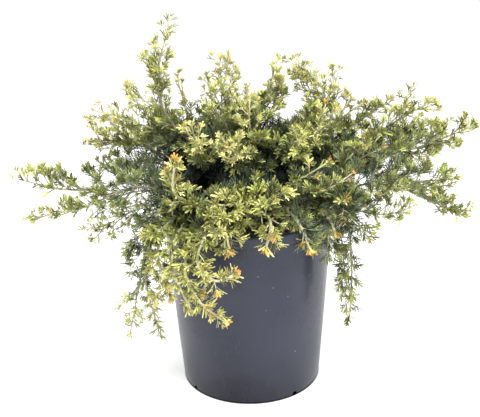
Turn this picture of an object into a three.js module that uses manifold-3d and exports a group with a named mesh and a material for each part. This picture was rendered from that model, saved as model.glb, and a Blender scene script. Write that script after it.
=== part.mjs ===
// A young grevillea in a round nursery pot.
// Millimetres, +Z up, the front towards -Y. The origin is the centre of the pot's base, on the floor.
import * as THREE from 'three';
import { mergeVertices } from 'three/addons/utils/BufferGeometryUtils.js';
import Module from 'manifold-3d';

const wasm = await Module();
wasm.setup();

// Pot
const POT_HEIGHT = 211;
const POT_BASE_RADIUS = 83;
const POT_NECK_RADIUS = 97.8;
const POT_LIP_RADIUS = 100;
const POT_LIP_HEIGHT = 12;
const POT_LIP_STEP = 0.8;
const POT_EDGE_ROUND = 1;
const POT_WALL = 1.8;
const POT_MOUTH_FLARE = 0.6;
const POT_FLOOR = 2;
const POT_FOOT_ROUND = 3;
const POT_SIDES = 36;
const DRAINS = 4;
const DRAIN_FIRST_DEG = -54;
const DRAIN_WIDTH = 9;
const DRAIN_HEIGHT = 3;
const DRAIN_FROM_AXIS = 42;
const DRAIN_HOLE_RADIUS = 2.6;
const DRAIN_HOLE_REACH = 14;

// Potting mix
const SOIL_LEVEL = 190;
const SOIL_CROWN = 4;
const SOIL_LUMP = 1.6;
const SOIL_RINGS = 3;
const TRUNK_HOLE_DEPTH = 60;
const TRUNK_HOLE_SIDES = 10;
const FIT_GAP = 0.3;

// Trunk and boughs
const TRUNK_FOOT = new THREE.Vector3(0, 4, 168);
const CROWN = new THREE.Vector3(0, 4, 212);
const TRUNK_RADIUS = 6;
const TRUNK_TAPER = 0.6;
const TRUNK_SIDES = 7;
const CROWN_RADIUS = 11;
const BOUGH_RADIUS = 2.9;
const BOUGH_END_RADIUS = 1.9;
const BOUGH_SIDES = 4;
const BOUGH_RISE = 0.12;
const BOUGH_SAG = 4;
const TWIG_RADIUS = 1.7;
const GREEN_FROM = 14;
const STEMS_APART = 2.2;

// Leafy stems
const STEM_RADIUS = 1.3;
const CORE_RADIUS = 2.9;
const STEM_TIP_RADIUS = 0.9;
const STEM_SIDES = 3;
const STEM_STEP = 36;
const STEM_LEAST_STEPS = 3;
const STRAIGHT_ENOUGH = 0.8;
const BARE_SHARE = 0.12;

// Sprays of lobed leaves
const BLADE = 0.8;
const ROOT_HALF_WIDTH = 0.5;
const FIVE_LOBES_FROM = 32;
const SPRAY_STEP = 52;
const SPRAY_LEAST = 2;
const SPRAY_LENGTH = 44;
const SPRAY_SHORTEST_SHARE = 0.55;
const SPRAY_TRIES = 12;
const SPRAY_FULL_TRIES = 7;
const SPRAY_SHRINK = 0.7;
const SPRAY_RETURN = 0.9;
const TIP_LEAF_LENGTH = 19;
const TIP_LEAF_LEAN = 0.15;
const TIP_INSET = 10;
const TIP_BARE = 10;
const GOLDEN_ANGLE = THREE.MathUtils.degToRad(137.508);
const SPRAY_LEAN = THREE.MathUtils.degToRad(52);
const LOBE_REACH = 0.4;
const LOBE_SHRINK = 0.07;
const LOBE_LIFT = 0.16;
const RIB_HALF_SHARE = 0.045;
const ARCH_SIDEWAYS = 0.22;
const ARCH_ENDWAYS = 0.12;

// Clearances between shoots
const CLEARANCE = 6;
const BLADE_BALL = 2.2;
const POT_CLEARANCE = 4;
const BALL_STEP = 3;

// Edges shorter than this, left where surfaces cross, are merged away
const SLIVER = 0.1;

const UP = new THREE.Vector3(0, 0, 1);

// Where each bough ends. Stems then leave a bough at its end, or short of it.
const BOUGHS = {
  left: [-74, -4, 232],
  left_front: [-58, -46, 228],
  front_left: [-30, -72, 228],
  front_left_low: [-50, -62, 222],
  front: [6, -78, 224],
  front_right: [46, -66, 226],
  right_front: [72, -36, 230],
  right: [80, 10, 234],
  right_back: [60, 50, 238],
  back_right: [24, 68, 238],
  back: [-22, 70, 238],
  back_left: [-58, 46, 240],
  upper_left: [-38, 6, 268],
  upper: [4, 16, 276],
  upper_right: [42, 6, 266],
};

// Leafy stems: the bough, how far along it the stem leaves, and the points that it passes, tip last.
const STEMS = {
  left_long: ['left', 1.0, [-130, -4, 246], [-196, -10, 241], [-269, -20, 262]],
  left_low: ['left_front', 0.9, [-116, -46, 254], [-181, -50, 234], [-249, -60, 223]],
  left_droop_a: ['left', 0.85, [-128, 26, 226], [-166, 32, 212], [-198, 32, 186]],
  left_droop_b: ['left', 0.7, [-122, 6, 212], [-158, 8, 196], [-188, 8, 170]],
  left_back: ['back_left', 0.9, [-122, 62, 252], [-164, 72, 248], [-205, 72, 242]],
  left_rise: ['back_left', 1.0, [-118, 52, 272], [-158, 58, 280], [-193, 60, 279]],
  left_high: ['upper_left', 0.8, [-98, 14, 300], [-140, 18, 316], [-178, 20, 328]],
  left_crest: ['upper_left', 1.0, [-84, 40, 306], [-112, 54, 324], [-139, 60, 345]],
  tall: ['upper_left', 0.95, [-82, 2, 312], [-96, 0, 352], [-79, 10, 433]],
  tall_side: ['upper_left', 0.6, [-62, 30, 300], [-70, 34, 328], [-72, 32, 360]],
  top_left: ['upper', 0.8, [-24, 8, 312], [-26, 12, 338], [-16, 20, 384]],
  top_back: ['upper', 0.6, [-30, 54, 306], [-40, 70, 330], [-46, 80, 358]],
  top_centre: ['upper', 1.0, [10, 30, 312], [30, 50, 346], [42, 60, 380]],
  top_lean: ['upper_right', 1.0, [82, 16, 302], [90, 20, 340], [49, 20, 382]],
  top_right: ['upper_right', 0.85, [84, 34, 312], [102, 40, 338], [111, 42, 368]],
  crest_right: ['right_back', 0.8, [98, 58, 288], [124, 66, 304], [148, 70, 320]],
  right_high: ['right_back', 1.0, [106, 66, 272], [150, 76, 300], [176, 72, 318]],
  right_crest: ['right', 0.85, [132, 20, 276], [178, 22, 306], [220, 20, 329]],
  right_long: ['right', 1.0, [146, 4, 262], [206, 2, 280], [262, 0, 303]],
  right_mid: ['right_back', 0.9, [128, 38, 262], [182, 40, 272], [236, 34, 270]],
  right_front_long: ['right_front', 0.9, [126, -42, 248], [180, -42, 250], [236, -40, 251]],
  right_low: ['right', 0.75, [140, 30, 240], [186, 34, 219], [269, 40, 176]],
  right_droop: ['right_front', 0.7, [118, -52, 222], [151, -54, 217], [186, -62, 230]],
  right_hang: ['right_front', 1.0, [104, -62, 222], [112, -68, 172], [112, -62, 92]],
  right_skirt: ['right_front', 0.85, [96, -66, 232], [114, -78, 220], [130, -84, 198]],
  right_upper: ['right_front', 0.6, [92, -26, 258], [124, -34, 276], [152, -40, 290]],
  right_rim: ['front_right', 0.8, [74, -76, 234], [84, -90, 228], [92, -98, 210]],
  front_rim: ['front_right', 0.9, [48, -98, 232], [56, -116, 222], [62, -126, 203]],
  front_nod: ['front', 0.9, [12, -100, 240], [22, -120, 236], [15, -132, 208]],
  front_fan_right: ['front', 1.0, [14, -96, 248], [20, -104, 254], [28, -110, 262]],
  front_fan_left: ['front', 0.7, [-12, -92, 246], [-26, -104, 250], [-36, -112, 254]],
  front_rise: ['front_right', 0.6, [44, -72, 258], [66, -84, 276], [88, -90, 292]],
  front_bronze: ['front_right', 1.0, [66, -84, 252], [84, -96, 262], [112, -92, 280]],
  front_corner: ['right_front', 0.8, [90, -72, 242], [98, -92, 244], [98, -112, 256]],
  front_upright: ['front_left', 0.7, [-60, -84, 246], [-77, -92, 262], [-73, -92, 299]],
  front_mass: ['front_left', 0.85, [-26, -100, 236], [-24, -116, 226], [-20, -132, 207]],
  front_curl: ['front_left', 1.0, [-44, -108, 222], [-54, -128, 196], [-34, -138, 180], [-12, -138, 190]],
  front_hang: ['front_left_low', 1.0, [-64, -106, 210], [-66, -124, 180], [-52, -130, 152], [-25, -134, 130]],
  front_dangle: ['front_left_low', 0.9, [-76, -94, 216], [-80, -112, 184], [-62, -120, 136]],
  front_drop: ['left_front', 1.0, [-84, -72, 224], [-98, -88, 194], [-86, -96, 142]],
  left_hang: ['left_front', 0.8, [-104, -54, 222], [-118, -60, 170], [-141, -50, 74]],
  left_hang_inner: ['left_front', 0.95, [-94, -62, 218], [-114, -74, 168], [-104, -66, 80]],
  left_skirt: ['left', 0.6, [-98, -26, 222], [-116, -38, 208], [-124, -44, 180]],
  middle_left: ['upper_left', 0.7, [-46, -26, 280], [-54, -42, 302], [-59, -52, 327]],
  middle_front: ['upper', 0.7, [-6, -30, 276], [-14, -50, 292], [-20, -70, 304]],
  middle_front_right: ['upper_right', 0.7, [48, -28, 280], [54, -50, 296], [58, -72, 310]],
  middle: ['upper', 0.9, [6, -8, 296], [4, -14, 318], [6, -10, 347]],
  middle_back: ['upper', 0.8, [8, 50, 292], [4, 76, 316], [6, 96, 340]],
  middle_right: ['upper_right', 0.9, [66, -14, 286], [82, -22, 312], [88, -24, 341]],
  back_crest_right: ['back_right', 0.9, [56, 106, 268], [84, 144, 284], [108, 178, 294]],
  back_crest: ['back', 1.0, [-22, 110, 274], [-14, 150, 290], [4, 192, 298]],
  back_crest_left: ['back_left', 0.7, [-78, 88, 270], [-98, 124, 286], [-116, 162, 292]],
  back_long_right: ['back_right', 1.0, [78, 112, 252], [130, 162, 258], [172, 208, 250]],
  back_long_left: ['back', 0.85, [-80, 116, 250], [-126, 160, 248], [-166, 206, 240]],
  back_spill: ['back_right', 0.7, [30, 112, 240], [40, 156, 216], [36, 172, 150]],
  back_spill_left: ['back', 0.7, [-50, 106, 236], [-68, 146, 212], [-76, 164, 156]],
};

const material = (name, color, roughness) =>
  new THREE.MeshStandardMaterial({ name, color, roughness, metalness: 0 });
const potBlack = material('pot plastic', 0x2b2e36, 0.4);
const mixBrown = material('potting mix', 0x3a2a1e, 0.95);
const barkBrown = material('bark', 0x6b5138, 0.85);
const leafGreen = material('foliage', 0x8f9657, 0.7);

/** A closed solid from a three.js geometry, with shared corners merged and its faces pointing out. */
function toSolid(geometry) {
  const bare = geometry.clone();
  bare.deleteAttribute('normal');
  bare.deleteAttribute('uv');
  const merged = mergeVertices(bare, 1e-4);
  const corners = [];
  for (let i = 0; i < merged.index.count; i += 3) {
    const [a, b, c] = [0, 1, 2].map((k) => merged.index.getX(i + k));
    if (a !== b && b !== c && c !== a) corners.push(a, b, c);
  }
  const build = (order) => new wasm.Manifold(new wasm.Mesh({
    numProp: 3,
    vertProperties: new Float32Array(merged.attributes.position.array),
    triVerts: new Uint32Array(order),
  }));
  const solid = build(corners);
  return solid.volume() > 0 ? solid : build(corners.reverse());
}

/** A named mesh from a solid, with the slivers that its unions left merged away. */
function toMesh(solid, name, finish) {
  const { vertProperties, triVerts } = solid.simplify(SLIVER).getMesh();
  const geometry = new THREE.BufferGeometry();
  geometry.setAttribute('position', new THREE.BufferAttribute(vertProperties, 3));
  geometry.setIndex(new THREE.BufferAttribute(triVerts, 1));
  geometry.computeVertexNormals();
  const mesh = new THREE.Mesh(geometry, finish);
  mesh.name = name;
  return mesh;
}

/** A solid of revolution about Z, from points of radius and height. */
function turned(points, sides) {
  const profile = points.map(([radius, height]) => new THREE.Vector2(radius, height));
  return new THREE.LatheGeometry(profile, sides).rotateX(Math.PI / 2);
}

/** The radius of the pot's outer wall at a height. */
function potRadius(height) {
  return THREE.MathUtils.lerp(POT_BASE_RADIUS, POT_NECK_RADIUS, height / (POT_HEIGHT - POT_LIP_HEIGHT));
}

/** Four radial drains under the base: arched channels, as wide and high as given, from start outwards. */
function drainChannels(width, height, start) {
  const arch = new THREE.Shape();
  const below = -1;
  arch.moveTo(-width / 2, below);
  arch.lineTo(width / 2, below);
  arch.lineTo(width / 2, height * 0.6);
  arch.lineTo(width * 0.3, height);
  arch.lineTo(-width * 0.3, height);
  arch.lineTo(-width / 2, height * 0.6);
  const length = POT_BASE_RADIUS + 10 - start;
  let channels = null;
  for (let i = 0; i < DRAINS; i += 1) {
    const channel = new THREE.ExtrudeGeometry(arch, { depth: length, bevelEnabled: false });
    channel.rotateX(Math.PI / 2).translate(0, -start, 0);
    channel.rotateZ(THREE.MathUtils.degToRad(DRAIN_FIRST_DEG + 90 * i));
    const solid = toSolid(channel);
    channels = channels ? channels.add(solid) : solid;
  }
  return channels;
}

/** Holes through the pot's bottom corner, one at the end of each channel. */
function drainHoles() {
  let holes = null;
  for (let i = 0; i < DRAINS; i += 1) {
    const hole = new THREE.CylinderGeometry(DRAIN_HOLE_RADIUS, DRAIN_HOLE_RADIUS, DRAIN_HOLE_REACH, 12);
    hole.translate(0, POT_FOOT_ROUND - POT_BASE_RADIUS, DRAIN_HEIGHT);
    hole.rotateZ(THREE.MathUtils.degToRad(DRAIN_FIRST_DEG + 90 * i));
    const solid = toSolid(hole);
    holes = holes ? holes.add(solid) : solid;
  }
  return holes;
}

/** The pot: a tapered wall with a proud lip, standing on a flat base with four drains. */
function makePot() {
  const lipFoot = POT_HEIGHT - POT_LIP_HEIGHT;
  const outer = toSolid(turned([
    [0, 0],
    [POT_BASE_RADIUS - POT_FOOT_ROUND, 0],
    [POT_BASE_RADIUS - POT_FOOT_ROUND * 0.3, POT_FOOT_ROUND * 0.3],
    [potRadius(POT_FOOT_ROUND), POT_FOOT_ROUND],
    [potRadius(lipFoot), lipFoot],
    [POT_LIP_RADIUS - POT_LIP_STEP / 2, lipFoot + POT_LIP_STEP],
    [POT_LIP_RADIUS, POT_HEIGHT - POT_EDGE_ROUND],
    [POT_LIP_RADIUS - POT_EDGE_ROUND, POT_HEIGHT],
    [0, POT_HEIGHT],
  ], POT_SIDES));
  const inner = toSolid(turned([
    [0, POT_FLOOR],
    [potRadius(POT_FLOOR) - POT_WALL, POT_FLOOR],
    [potRadius(lipFoot) - POT_WALL, lipFoot],
    [potRadius(lipFoot) - POT_WALL + POT_MOUTH_FLARE, POT_HEIGHT + 1],
    [0, POT_HEIGHT + 1],
  ], POT_SIDES));
  const ribWidth = DRAIN_WIDTH + 2 * POT_FLOOR;
  const ribs = drainChannels(ribWidth, DRAIN_HEIGHT + POT_FLOOR, DRAIN_FROM_AXIS - POT_FLOOR);
  return outer
    .subtract(inner.subtract(ribs))
    .subtract(drainChannels(DRAIN_WIDTH, DRAIN_HEIGHT, DRAIN_FROM_AXIS))
    .subtract(drainHoles());
}

/** The potting mix: it fills the pot, its top is lumpy, and a plain hole takes the trunk. */
function makePottingMix() {
  const foot = POT_FLOOR + DRAIN_HEIGHT + FIT_GAP;
  const edge = (height) => (potRadius(height) - POT_WALL) * Math.cos(Math.PI / POT_SIDES) - FIT_GAP;
  const profile = [[0, foot], [edge(foot), foot], [edge(SOIL_LEVEL), SOIL_LEVEL]];
  for (let ring = 1; ring <= SOIL_RINGS; ring += 1) {
    const share = 1 - ring / SOIL_RINGS;
    profile.push([edge(SOIL_LEVEL) * share, SOIL_LEVEL + SOIL_CROWN * (1 - share * share)]);
  }
  const geometry = turned(profile, POT_SIDES);
  const position = geometry.getAttribute('position');
  for (let i = 0; i < position.count; i += 1) {
    const [x, y, z] = [position.getX(i), position.getY(i), position.getZ(i)];
    const lump = SOIL_LUMP * (Math.sin(x * 0.11 + y * 0.05) + Math.cos(y * 0.13 - x * 0.04));
    if (z >= SOIL_LEVEL && Math.hypot(x, y) < edge(SOIL_LEVEL) - 1) position.setZ(i, z + lump);
  }
  const holeRadius = (TRUNK_RADIUS + FIT_GAP) / Math.cos(Math.PI / TRUNK_HOLE_SIDES);
  const hole = new THREE.CylinderGeometry(holeRadius, holeRadius, TRUNK_HOLE_DEPTH, TRUNK_HOLE_SIDES);
  hole.rotateX(Math.PI / 2);
  hole.translate(TRUNK_FOOT.x, TRUNK_FOOT.y, TRUNK_FOOT.z - FIT_GAP + TRUNK_HOLE_DEPTH / 2);
  return toSolid(geometry).subtract(toSolid(hole));
}

/** A frame at a point: the way along, the level way across it, and the third one. */
function frame(at, along, level) {
  const across = level.clone().addScaledVector(along, -level.dot(along)).normalize();
  return { at, along, across, over: new THREE.Vector3().crossVectors(across, along) };
}

/** A direction across a curve: level across its general run, unless the curve somewhere turns to run along that. */
function levelAcross(curve) {
  const run = new THREE.Vector3().subVectors(curve.getPoint(1), curve.getPoint(0));
  const across = new THREE.Vector3().crossVectors(UP, run);
  if (across.length() < 20) return new THREE.Vector3(1, 0, 0);
  across.normalize();
  const tangents = [0, 0.25, 0.5, 0.75, 1].map((share) => curve.getTangentAt(share));
  if (tangents.every((tangent) => Math.abs(tangent.dot(across)) < STRAIGHT_ENOUGH)) return across;
  return new THREE.Vector3().crossVectors(tangents[0], tangents[4]).normalize();
}

/** A round bar swept along part of a curve, its radius a function of the share of that part. */
function swept(curve, from, to, radiusAt, sides, steps) {
  const profile = [[0, 0]];
  for (let i = 0; i <= steps; i += 1) profile.push([radiusAt(i / steps), i / steps]);
  profile.push([0, 1]);
  const geometry = new THREE.LatheGeometry(profile.map(([r, h]) => new THREE.Vector2(r, h)), sides);
  const position = geometry.getAttribute('position');
  const level = levelAcross(curve);
  for (let i = 0; i < position.count; i += 1) {
    const t = Math.min(1, from + (to - from) * position.getY(i));
    const { at, across, over } = frame(curve.getPointAt(t), curve.getTangentAt(t), level);
    at.addScaledVector(across, position.getX(i)).addScaledVector(over, position.getZ(i));
    position.setXYZ(i, at.x, at.y, at.z);
  }
  return toSolid(geometry);
}

/** A bough's curve, from the crown outwards. */
function boughCurve(name) {
  const end = new THREE.Vector3(...BOUGHS[name]);
  const start = end.clone().sub(CROWN).setLength(CROWN_RADIUS * 0.6).add(CROWN);
  const middle = new THREE.Vector3().lerpVectors(CROWN, end, 0.55);
  middle.z += BOUGH_RISE * Math.hypot(end.x, end.y) - BOUGH_SAG;
  return new THREE.CatmullRomCurve3([start, middle, end]);
}

/** A leafy stem's curve, from the bough out to its tip. */
function stemCurve([bough, share, ...points]) {
  const start = boughCurve(bough).getPointAt(share);
  return new THREE.CatmullRomCurve3([start, ...points.map((point) => new THREE.Vector3(...point))]);
}

/** The points of a swept bar's axis, which runs straight from one to the next. */
function curveStations(curve, from, to, steps) {
  return Array.from({ length: steps + 1 }, (_, i) =>
    curve.getPointAt(Math.min(1, from + ((to - from) * i) / steps)));
}

/** The frame at a share of the way along a swept bar's axis. */
function frameOnBar(stations, share, level) {
  const last = stations.length - 1;
  const index = Math.min(last - 1, Math.floor(share * last));
  const along = new THREE.Vector3().subVectors(stations[index + 1], stations[index]).normalize();
  const at = new THREE.Vector3().lerpVectors(stations[index], stations[index + 1], share * last - index);
  return frame(at, along, level);
}

/** Keeps balls round what is built, to tell whether a new point would lie too near another piece. */
class Neighbours {
  constructor(cell = 14) {
    this.cell = cell;
    this.cells = new Map();
  }

  key(x, y, z) {
    return `${Math.floor(x / this.cell)},${Math.floor(y / this.cell)},${Math.floor(z / this.cell)}`;
  }

  add(point, radius, owner) {
    const key = this.key(point.x, point.y, point.z);
    if (!this.cells.has(key)) this.cells.set(key, []);
    this.cells.get(key).push({ point, radius, owner });
  }

  /** Whether a ball at the point, with the clearance round it, meets a ball of another owner. */
  meets(point, radius, owner) {
    for (let i = -1; i <= 1; i += 1) {
      for (let j = -1; j <= 1; j += 1) {
        for (let k = -1; k <= 1; k += 1) {
          const key = this.key(point.x + i * this.cell, point.y + j * this.cell, point.z + k * this.cell);
          for (const ball of this.cells.get(key) ?? []) {
            const near = ball.point.distanceTo(point) < ball.radius + radius;
            if (ball.owner !== owner && near) return true;
          }
        }
      }
    }
    return false;
  }
}

/** Whether a point lies in or close to the pot, its mix or the floor. */
function meetsPot(point) {
  const low = point.z < POT_HEIGHT + POT_CLEARANCE;
  const over = Math.hypot(point.x, point.y) < POT_LIP_RADIUS + POT_CLEARANCE;
  return (low && over) || point.z < POT_CLEARANCE;
}

/** The corners of a blade cut to its rib in pointed lobes, its root at the origin and its rib along +Y. */
function lobedOutline(length, pairs) {
  const right = [[ROOT_HALF_WIDTH, 0]];
  for (let pair = 1; pair <= pairs; pair += 1) {
    const share = pair / (pairs + 0.35);
    right.push([length * (LOBE_REACH - LOBE_SHRINK * pair), length * (share + LOBE_LIFT)]);
    right.push([length * RIB_HALF_SHARE, length * share * 0.92]);
  }
  const left = right.map(([x, y]) => [-x, y]).reverse();
  return [...right, [0, length], ...left];
}

/** A thin lobed blade, arched down from its rib and towards its end. */
function bladeSolid(outline, length, place) {
  const shape = new THREE.Shape(outline.map(([x, y]) => new THREE.Vector2(x, y)));
  const geometry = new THREE.ExtrudeGeometry(shape, { depth: BLADE, bevelEnabled: false });
  const position = geometry.getAttribute('position');
  for (let i = 0; i < position.count; i += 1) {
    const [x, y] = [position.getX(i), position.getY(i)];
    position.setZ(i, position.getZ(i) - BLADE / 2 - archAt(x, y, length));
  }
  return toSolid(geometry.applyMatrix4(place));
}

/** How far a blade's arch lies below its root's plane. */
function archAt(x, y, length) {
  return ARCH_SIDEWAYS * Math.abs(x) + ARCH_ENDWAYS * y * (y / length);
}

/** Points spread over a blade, a few millimetres apart, for the clearance test. */
function bladePoints(outline, length, place) {
  const points = [];
  const put = (x, y) => points.push(new THREE.Vector3(x, y, -archAt(x, y, length)).applyMatrix4(place));
  for (let share = 0.2; share <= 1.01; share += 0.133) put(0, share * length);
  for (const [x, y] of outline) {
    if (Math.abs(x) > length * 0.1) {
      for (const share of [0.4, 0.7, 1]) put(x * share, y * (0.55 + 0.45 * share));
    }
  }
  return points;
}

/** A blade's place: root at a point, rib along a direction, upper face towards the stem's own tip. */
function bladePlace(at, direction, along) {
  const width = new THREE.Vector3().crossVectors(direction, along).normalize();
  const normal = new THREE.Vector3().crossVectors(width, direction);
  return new THREE.Matrix4().makeBasis(width, direction, normal).setPosition(at);
}

/** The way a side shoot leaves a stem: leaning off it, turned about it by an angle. */
function leaning({ along, across, over }, turn, lean) {
  return along.clone().multiplyScalar(Math.cos(lean))
    .addScaledVector(across, Math.sin(lean) * Math.cos(turn))
    .addScaledVector(over, Math.sin(lean) * Math.sin(turn))
    .normalize();
}

/** Where along a stem its green part begins: past the bark, once clear of every other stem and bough. */
function greenStart(name, curve, length, axes) {
  const step = BALL_STEP;
  let start = GREEN_FROM;
  for (let run = length; run > GREEN_FROM; run -= step) {
    const point = curve.getPointAt(run / length);
    if (axes.meets(point, TWIG_RADIUS + STEMS_APART, name)) {
      start = run + step;
      break;
    }
  }
  return start;
}

/** One leafy stem: a thin stem with a slim leafy core, side sprays by the golden angle, a leaf at its tip. */
function makeLeafyStem(name, index, curve, length, start, neighbours) {
  const from = (start + FIT_GAP) / length;
  const to = 1 - TIP_INSET / length;
  const radiusAt = (share) => {
    if (share < BARE_SHARE) return STEM_RADIUS;
    const swell = Math.sin(Math.PI * ((share - BARE_SHARE) / (1 - BARE_SHARE)) ** 0.7);
    return THREE.MathUtils.lerp(STEM_RADIUS, STEM_TIP_RADIUS, share) + (CORE_RADIUS - STEM_RADIUS) * swell;
  };
  const steps = Math.max(STEM_LEAST_STEPS, Math.round((length - start) / STEM_STEP));
  const parts = [swept(curve, from, to, radiusAt, STEM_SIDES, steps)];
  const stations = curveStations(curve, from, to, steps);
  const level = levelAcross(curve);

  const tryBlade = (share, turn, lean, size) => {
    const root = frameOnBar(stations, share, level);
    const outline = lobedOutline(size, size > FIVE_LOBES_FROM ? 2 : 1);
    const place = bladePlace(root.at, leaning(root, turn, lean), root.along);
    const points = bladePoints(outline, size, place);
    if (points.some((point) => meetsPot(point) || neighbours.meets(point, BLADE_BALL, name))) return false;
    points.forEach((point) => neighbours.add(point, CLEARANCE - BLADE_BALL, name));
    parts.push(bladeSolid(outline, size, place));
    return true;
  };

  tryBlade(0.98, index * 2.1, TIP_LEAF_LEAN, TIP_LEAF_LENGTH);
  const green = length - start - TIP_INSET;
  const leafy = green - TIP_BARE;
  const count = Math.max(SPRAY_LEAST, Math.round(leafy / SPRAY_STEP));
  for (let i = 0; i < count; i += 1) {
    const share = (i + 0.7) / count;
    const wanted = SPRAY_LENGTH * THREE.MathUtils.lerp(SPRAY_SHORTEST_SHARE, 1, share);
    for (let attempt = 0; attempt < SPRAY_TRIES; attempt += 1) {
      const turn = (index + i) * GOLDEN_ANGLE + attempt * SPRAY_RETURN;
      const size = wanted * (attempt < SPRAY_FULL_TRIES ? 1 : SPRAY_SHRINK);
      if (tryBlade(1 - (leafy * share) / green, turn, SPRAY_LEAN, size)) break;
    }
  }
  return parts.slice(1).reduce((whole, part) => whole.add(part), parts[0]);
}

/** The trunk, its boughs and the barked foot of each leafy stem, as one body. */
function makeWoodyFrame(curves, starts) {
  const trunk = new THREE.CatmullRomCurve3([
    TRUNK_FOOT,
    new THREE.Vector3().lerpVectors(TRUNK_FOOT, CROWN, 0.5),
    CROWN.clone().addScaledVector(UP, CROWN_RADIUS / 4),
  ]);
  let wood = swept(trunk, 0, 1, (share) => TRUNK_RADIUS - TRUNK_TAPER * share, TRUNK_SIDES, 1);
  const burl = new THREE.IcosahedronGeometry(CROWN_RADIUS, 0).translate(CROWN.x, CROWN.y, CROWN.z);
  wood = wood.add(toSolid(burl));
  for (const name of Object.keys(BOUGHS)) {
    const radiusAt = (share) => THREE.MathUtils.lerp(BOUGH_RADIUS, BOUGH_END_RADIUS, share);
    wood = wood.add(swept(boughCurve(name), 0, 1, radiusAt, BOUGH_SIDES, 2));
  }
  for (const [name, curve] of Object.entries(curves)) {
    const length = curve.getLength();
    const radiusAt = (share) => THREE.MathUtils.lerp(TWIG_RADIUS, STEM_RADIUS, share);
    const steps = Math.max(1, Math.round(starts[name] / STEM_STEP));
    wood = wood.add(swept(curve, 0, starts[name] / length, radiusAt, STEM_SIDES, steps));
  }
  return wood;
}

/** Balls of a radius along every bough, owned by the wood. */
function addBoughs(neighbours, radius) {
  for (const name of Object.keys(BOUGHS)) {
    const points = boughCurve(name).getSpacedPoints(30);
    points.forEach((point) => neighbours.add(point, radius, 'wood'));
  }
}

/** Where the green part of each stem begins, in millimetres along it. */
function greenStarts(curves) {
  const axes = new Neighbours(10);
  addBoughs(axes, BOUGH_RADIUS);
  for (const [name, curve] of Object.entries(curves)) {
    const points = curve.getSpacedPoints(Math.round(curve.getLength() / 2));
    points.forEach((point) => axes.add(point, TWIG_RADIUS, name));
  }
  const entries = Object.entries(curves);
  return Object.fromEntries(entries.map(([name, curve]) =>
    [name, greenStart(name, curve, curve.getLength(), axes)]));
}

/** The room that boughs and stems already take, which sprays keep clear of. */
function takenRoom(curves, starts) {
  const neighbours = new Neighbours();
  addBoughs(neighbours, BOUGH_RADIUS + 1);
  for (const [name, curve] of Object.entries(curves)) {
    const length = curve.getLength();
    for (let run = 0; run <= length; run += BALL_STEP) {
      const owner = run < starts[name] ? 'wood' : name;
      neighbours.add(curve.getPointAt(run / length), CORE_RADIUS + 1, owner);
    }
  }
  return neighbours;
}

/** The whole part. */
function makePart() {
  const group = new THREE.Group();
  group.add(toMesh(makePot(), 'pot', potBlack));
  group.add(toMesh(makePottingMix(), 'potting_mix', mixBrown));

  const curves = Object.fromEntries(Object.entries(STEMS).map(([name, row]) => [name, stemCurve(row)]));
  const starts = greenStarts(curves);
  const neighbours = takenRoom(curves, starts);
  group.add(toMesh(makeWoodyFrame(curves, starts), 'woody_frame', barkBrown));
  Object.entries(curves).forEach(([name, curve], index) => {
    const stem = makeLeafyStem(name, index, curve, curve.getLength(), starts[name], neighbours);
    group.add(toMesh(stem, `leafy_${name}`, leafGreen));
  });
  return group;
}

export default makePart();
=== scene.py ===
"""Looks for a young spreading grevillea in its nursery pot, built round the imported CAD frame.

Every size is in millimetres, as in the CAD source. A mesh is scaled to metres when its object is made.
"""

import logging
import math
import random
from dataclasses import dataclass
from enum import Enum

import bmesh
import bpy
from mathutils import Matrix, Vector, noise

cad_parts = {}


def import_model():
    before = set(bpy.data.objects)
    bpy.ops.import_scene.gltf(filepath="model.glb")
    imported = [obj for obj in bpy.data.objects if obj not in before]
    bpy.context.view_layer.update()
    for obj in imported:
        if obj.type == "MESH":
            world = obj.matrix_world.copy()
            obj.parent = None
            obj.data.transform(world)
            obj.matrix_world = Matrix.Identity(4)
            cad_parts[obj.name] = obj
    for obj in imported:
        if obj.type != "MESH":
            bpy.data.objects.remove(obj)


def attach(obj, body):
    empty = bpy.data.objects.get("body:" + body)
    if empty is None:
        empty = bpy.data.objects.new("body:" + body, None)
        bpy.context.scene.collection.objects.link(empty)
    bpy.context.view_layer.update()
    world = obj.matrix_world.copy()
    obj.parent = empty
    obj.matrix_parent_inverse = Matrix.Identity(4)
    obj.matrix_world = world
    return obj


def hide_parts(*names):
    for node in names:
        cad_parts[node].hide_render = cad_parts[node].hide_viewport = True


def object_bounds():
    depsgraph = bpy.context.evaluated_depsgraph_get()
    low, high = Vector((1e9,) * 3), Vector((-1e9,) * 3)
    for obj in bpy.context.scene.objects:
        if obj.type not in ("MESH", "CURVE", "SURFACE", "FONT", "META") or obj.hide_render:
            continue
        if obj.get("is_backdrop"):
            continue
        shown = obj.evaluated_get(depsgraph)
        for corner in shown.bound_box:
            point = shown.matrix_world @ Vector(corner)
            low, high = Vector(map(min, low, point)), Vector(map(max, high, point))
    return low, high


LOG = logging.getLogger("grevillea")

METRES = 0.001
UP = Vector((0.0, 0.0, 1.0))
GOLDEN_ANGLE = math.radians(137.508)
GROWTH = "growth"
UV = "UVMap"

CROWN = Vector((0.0, 4.0, 212.0))
CROWN_RADIUS = 11.0
BOUGH_RISE = 0.12
BOUGH_SAG = 4.0

# Where each bough ends. They all start at the crown.
BOUGHS: dict[str, tuple[float, float, float]] = {
    "left": (-74, -4, 232),
    "left_front": (-58, -46, 228),
    "front_left": (-30, -72, 228),
    "front_left_low": (-50, -62, 222),
    "front": (6, -78, 224),
    "front_right": (46, -66, 226),
    "right_front": (72, -36, 230),
    "right": (80, 10, 234),
    "right_back": (60, 50, 238),
    "back_right": (24, 68, 238),
    "back": (-22, 70, 238),
    "back_left": (-58, 46, 240),
    "upper_left": (-38, 6, 268),
    "upper": (4, 16, 276),
    "upper_right": (42, 6, 266),
}


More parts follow.
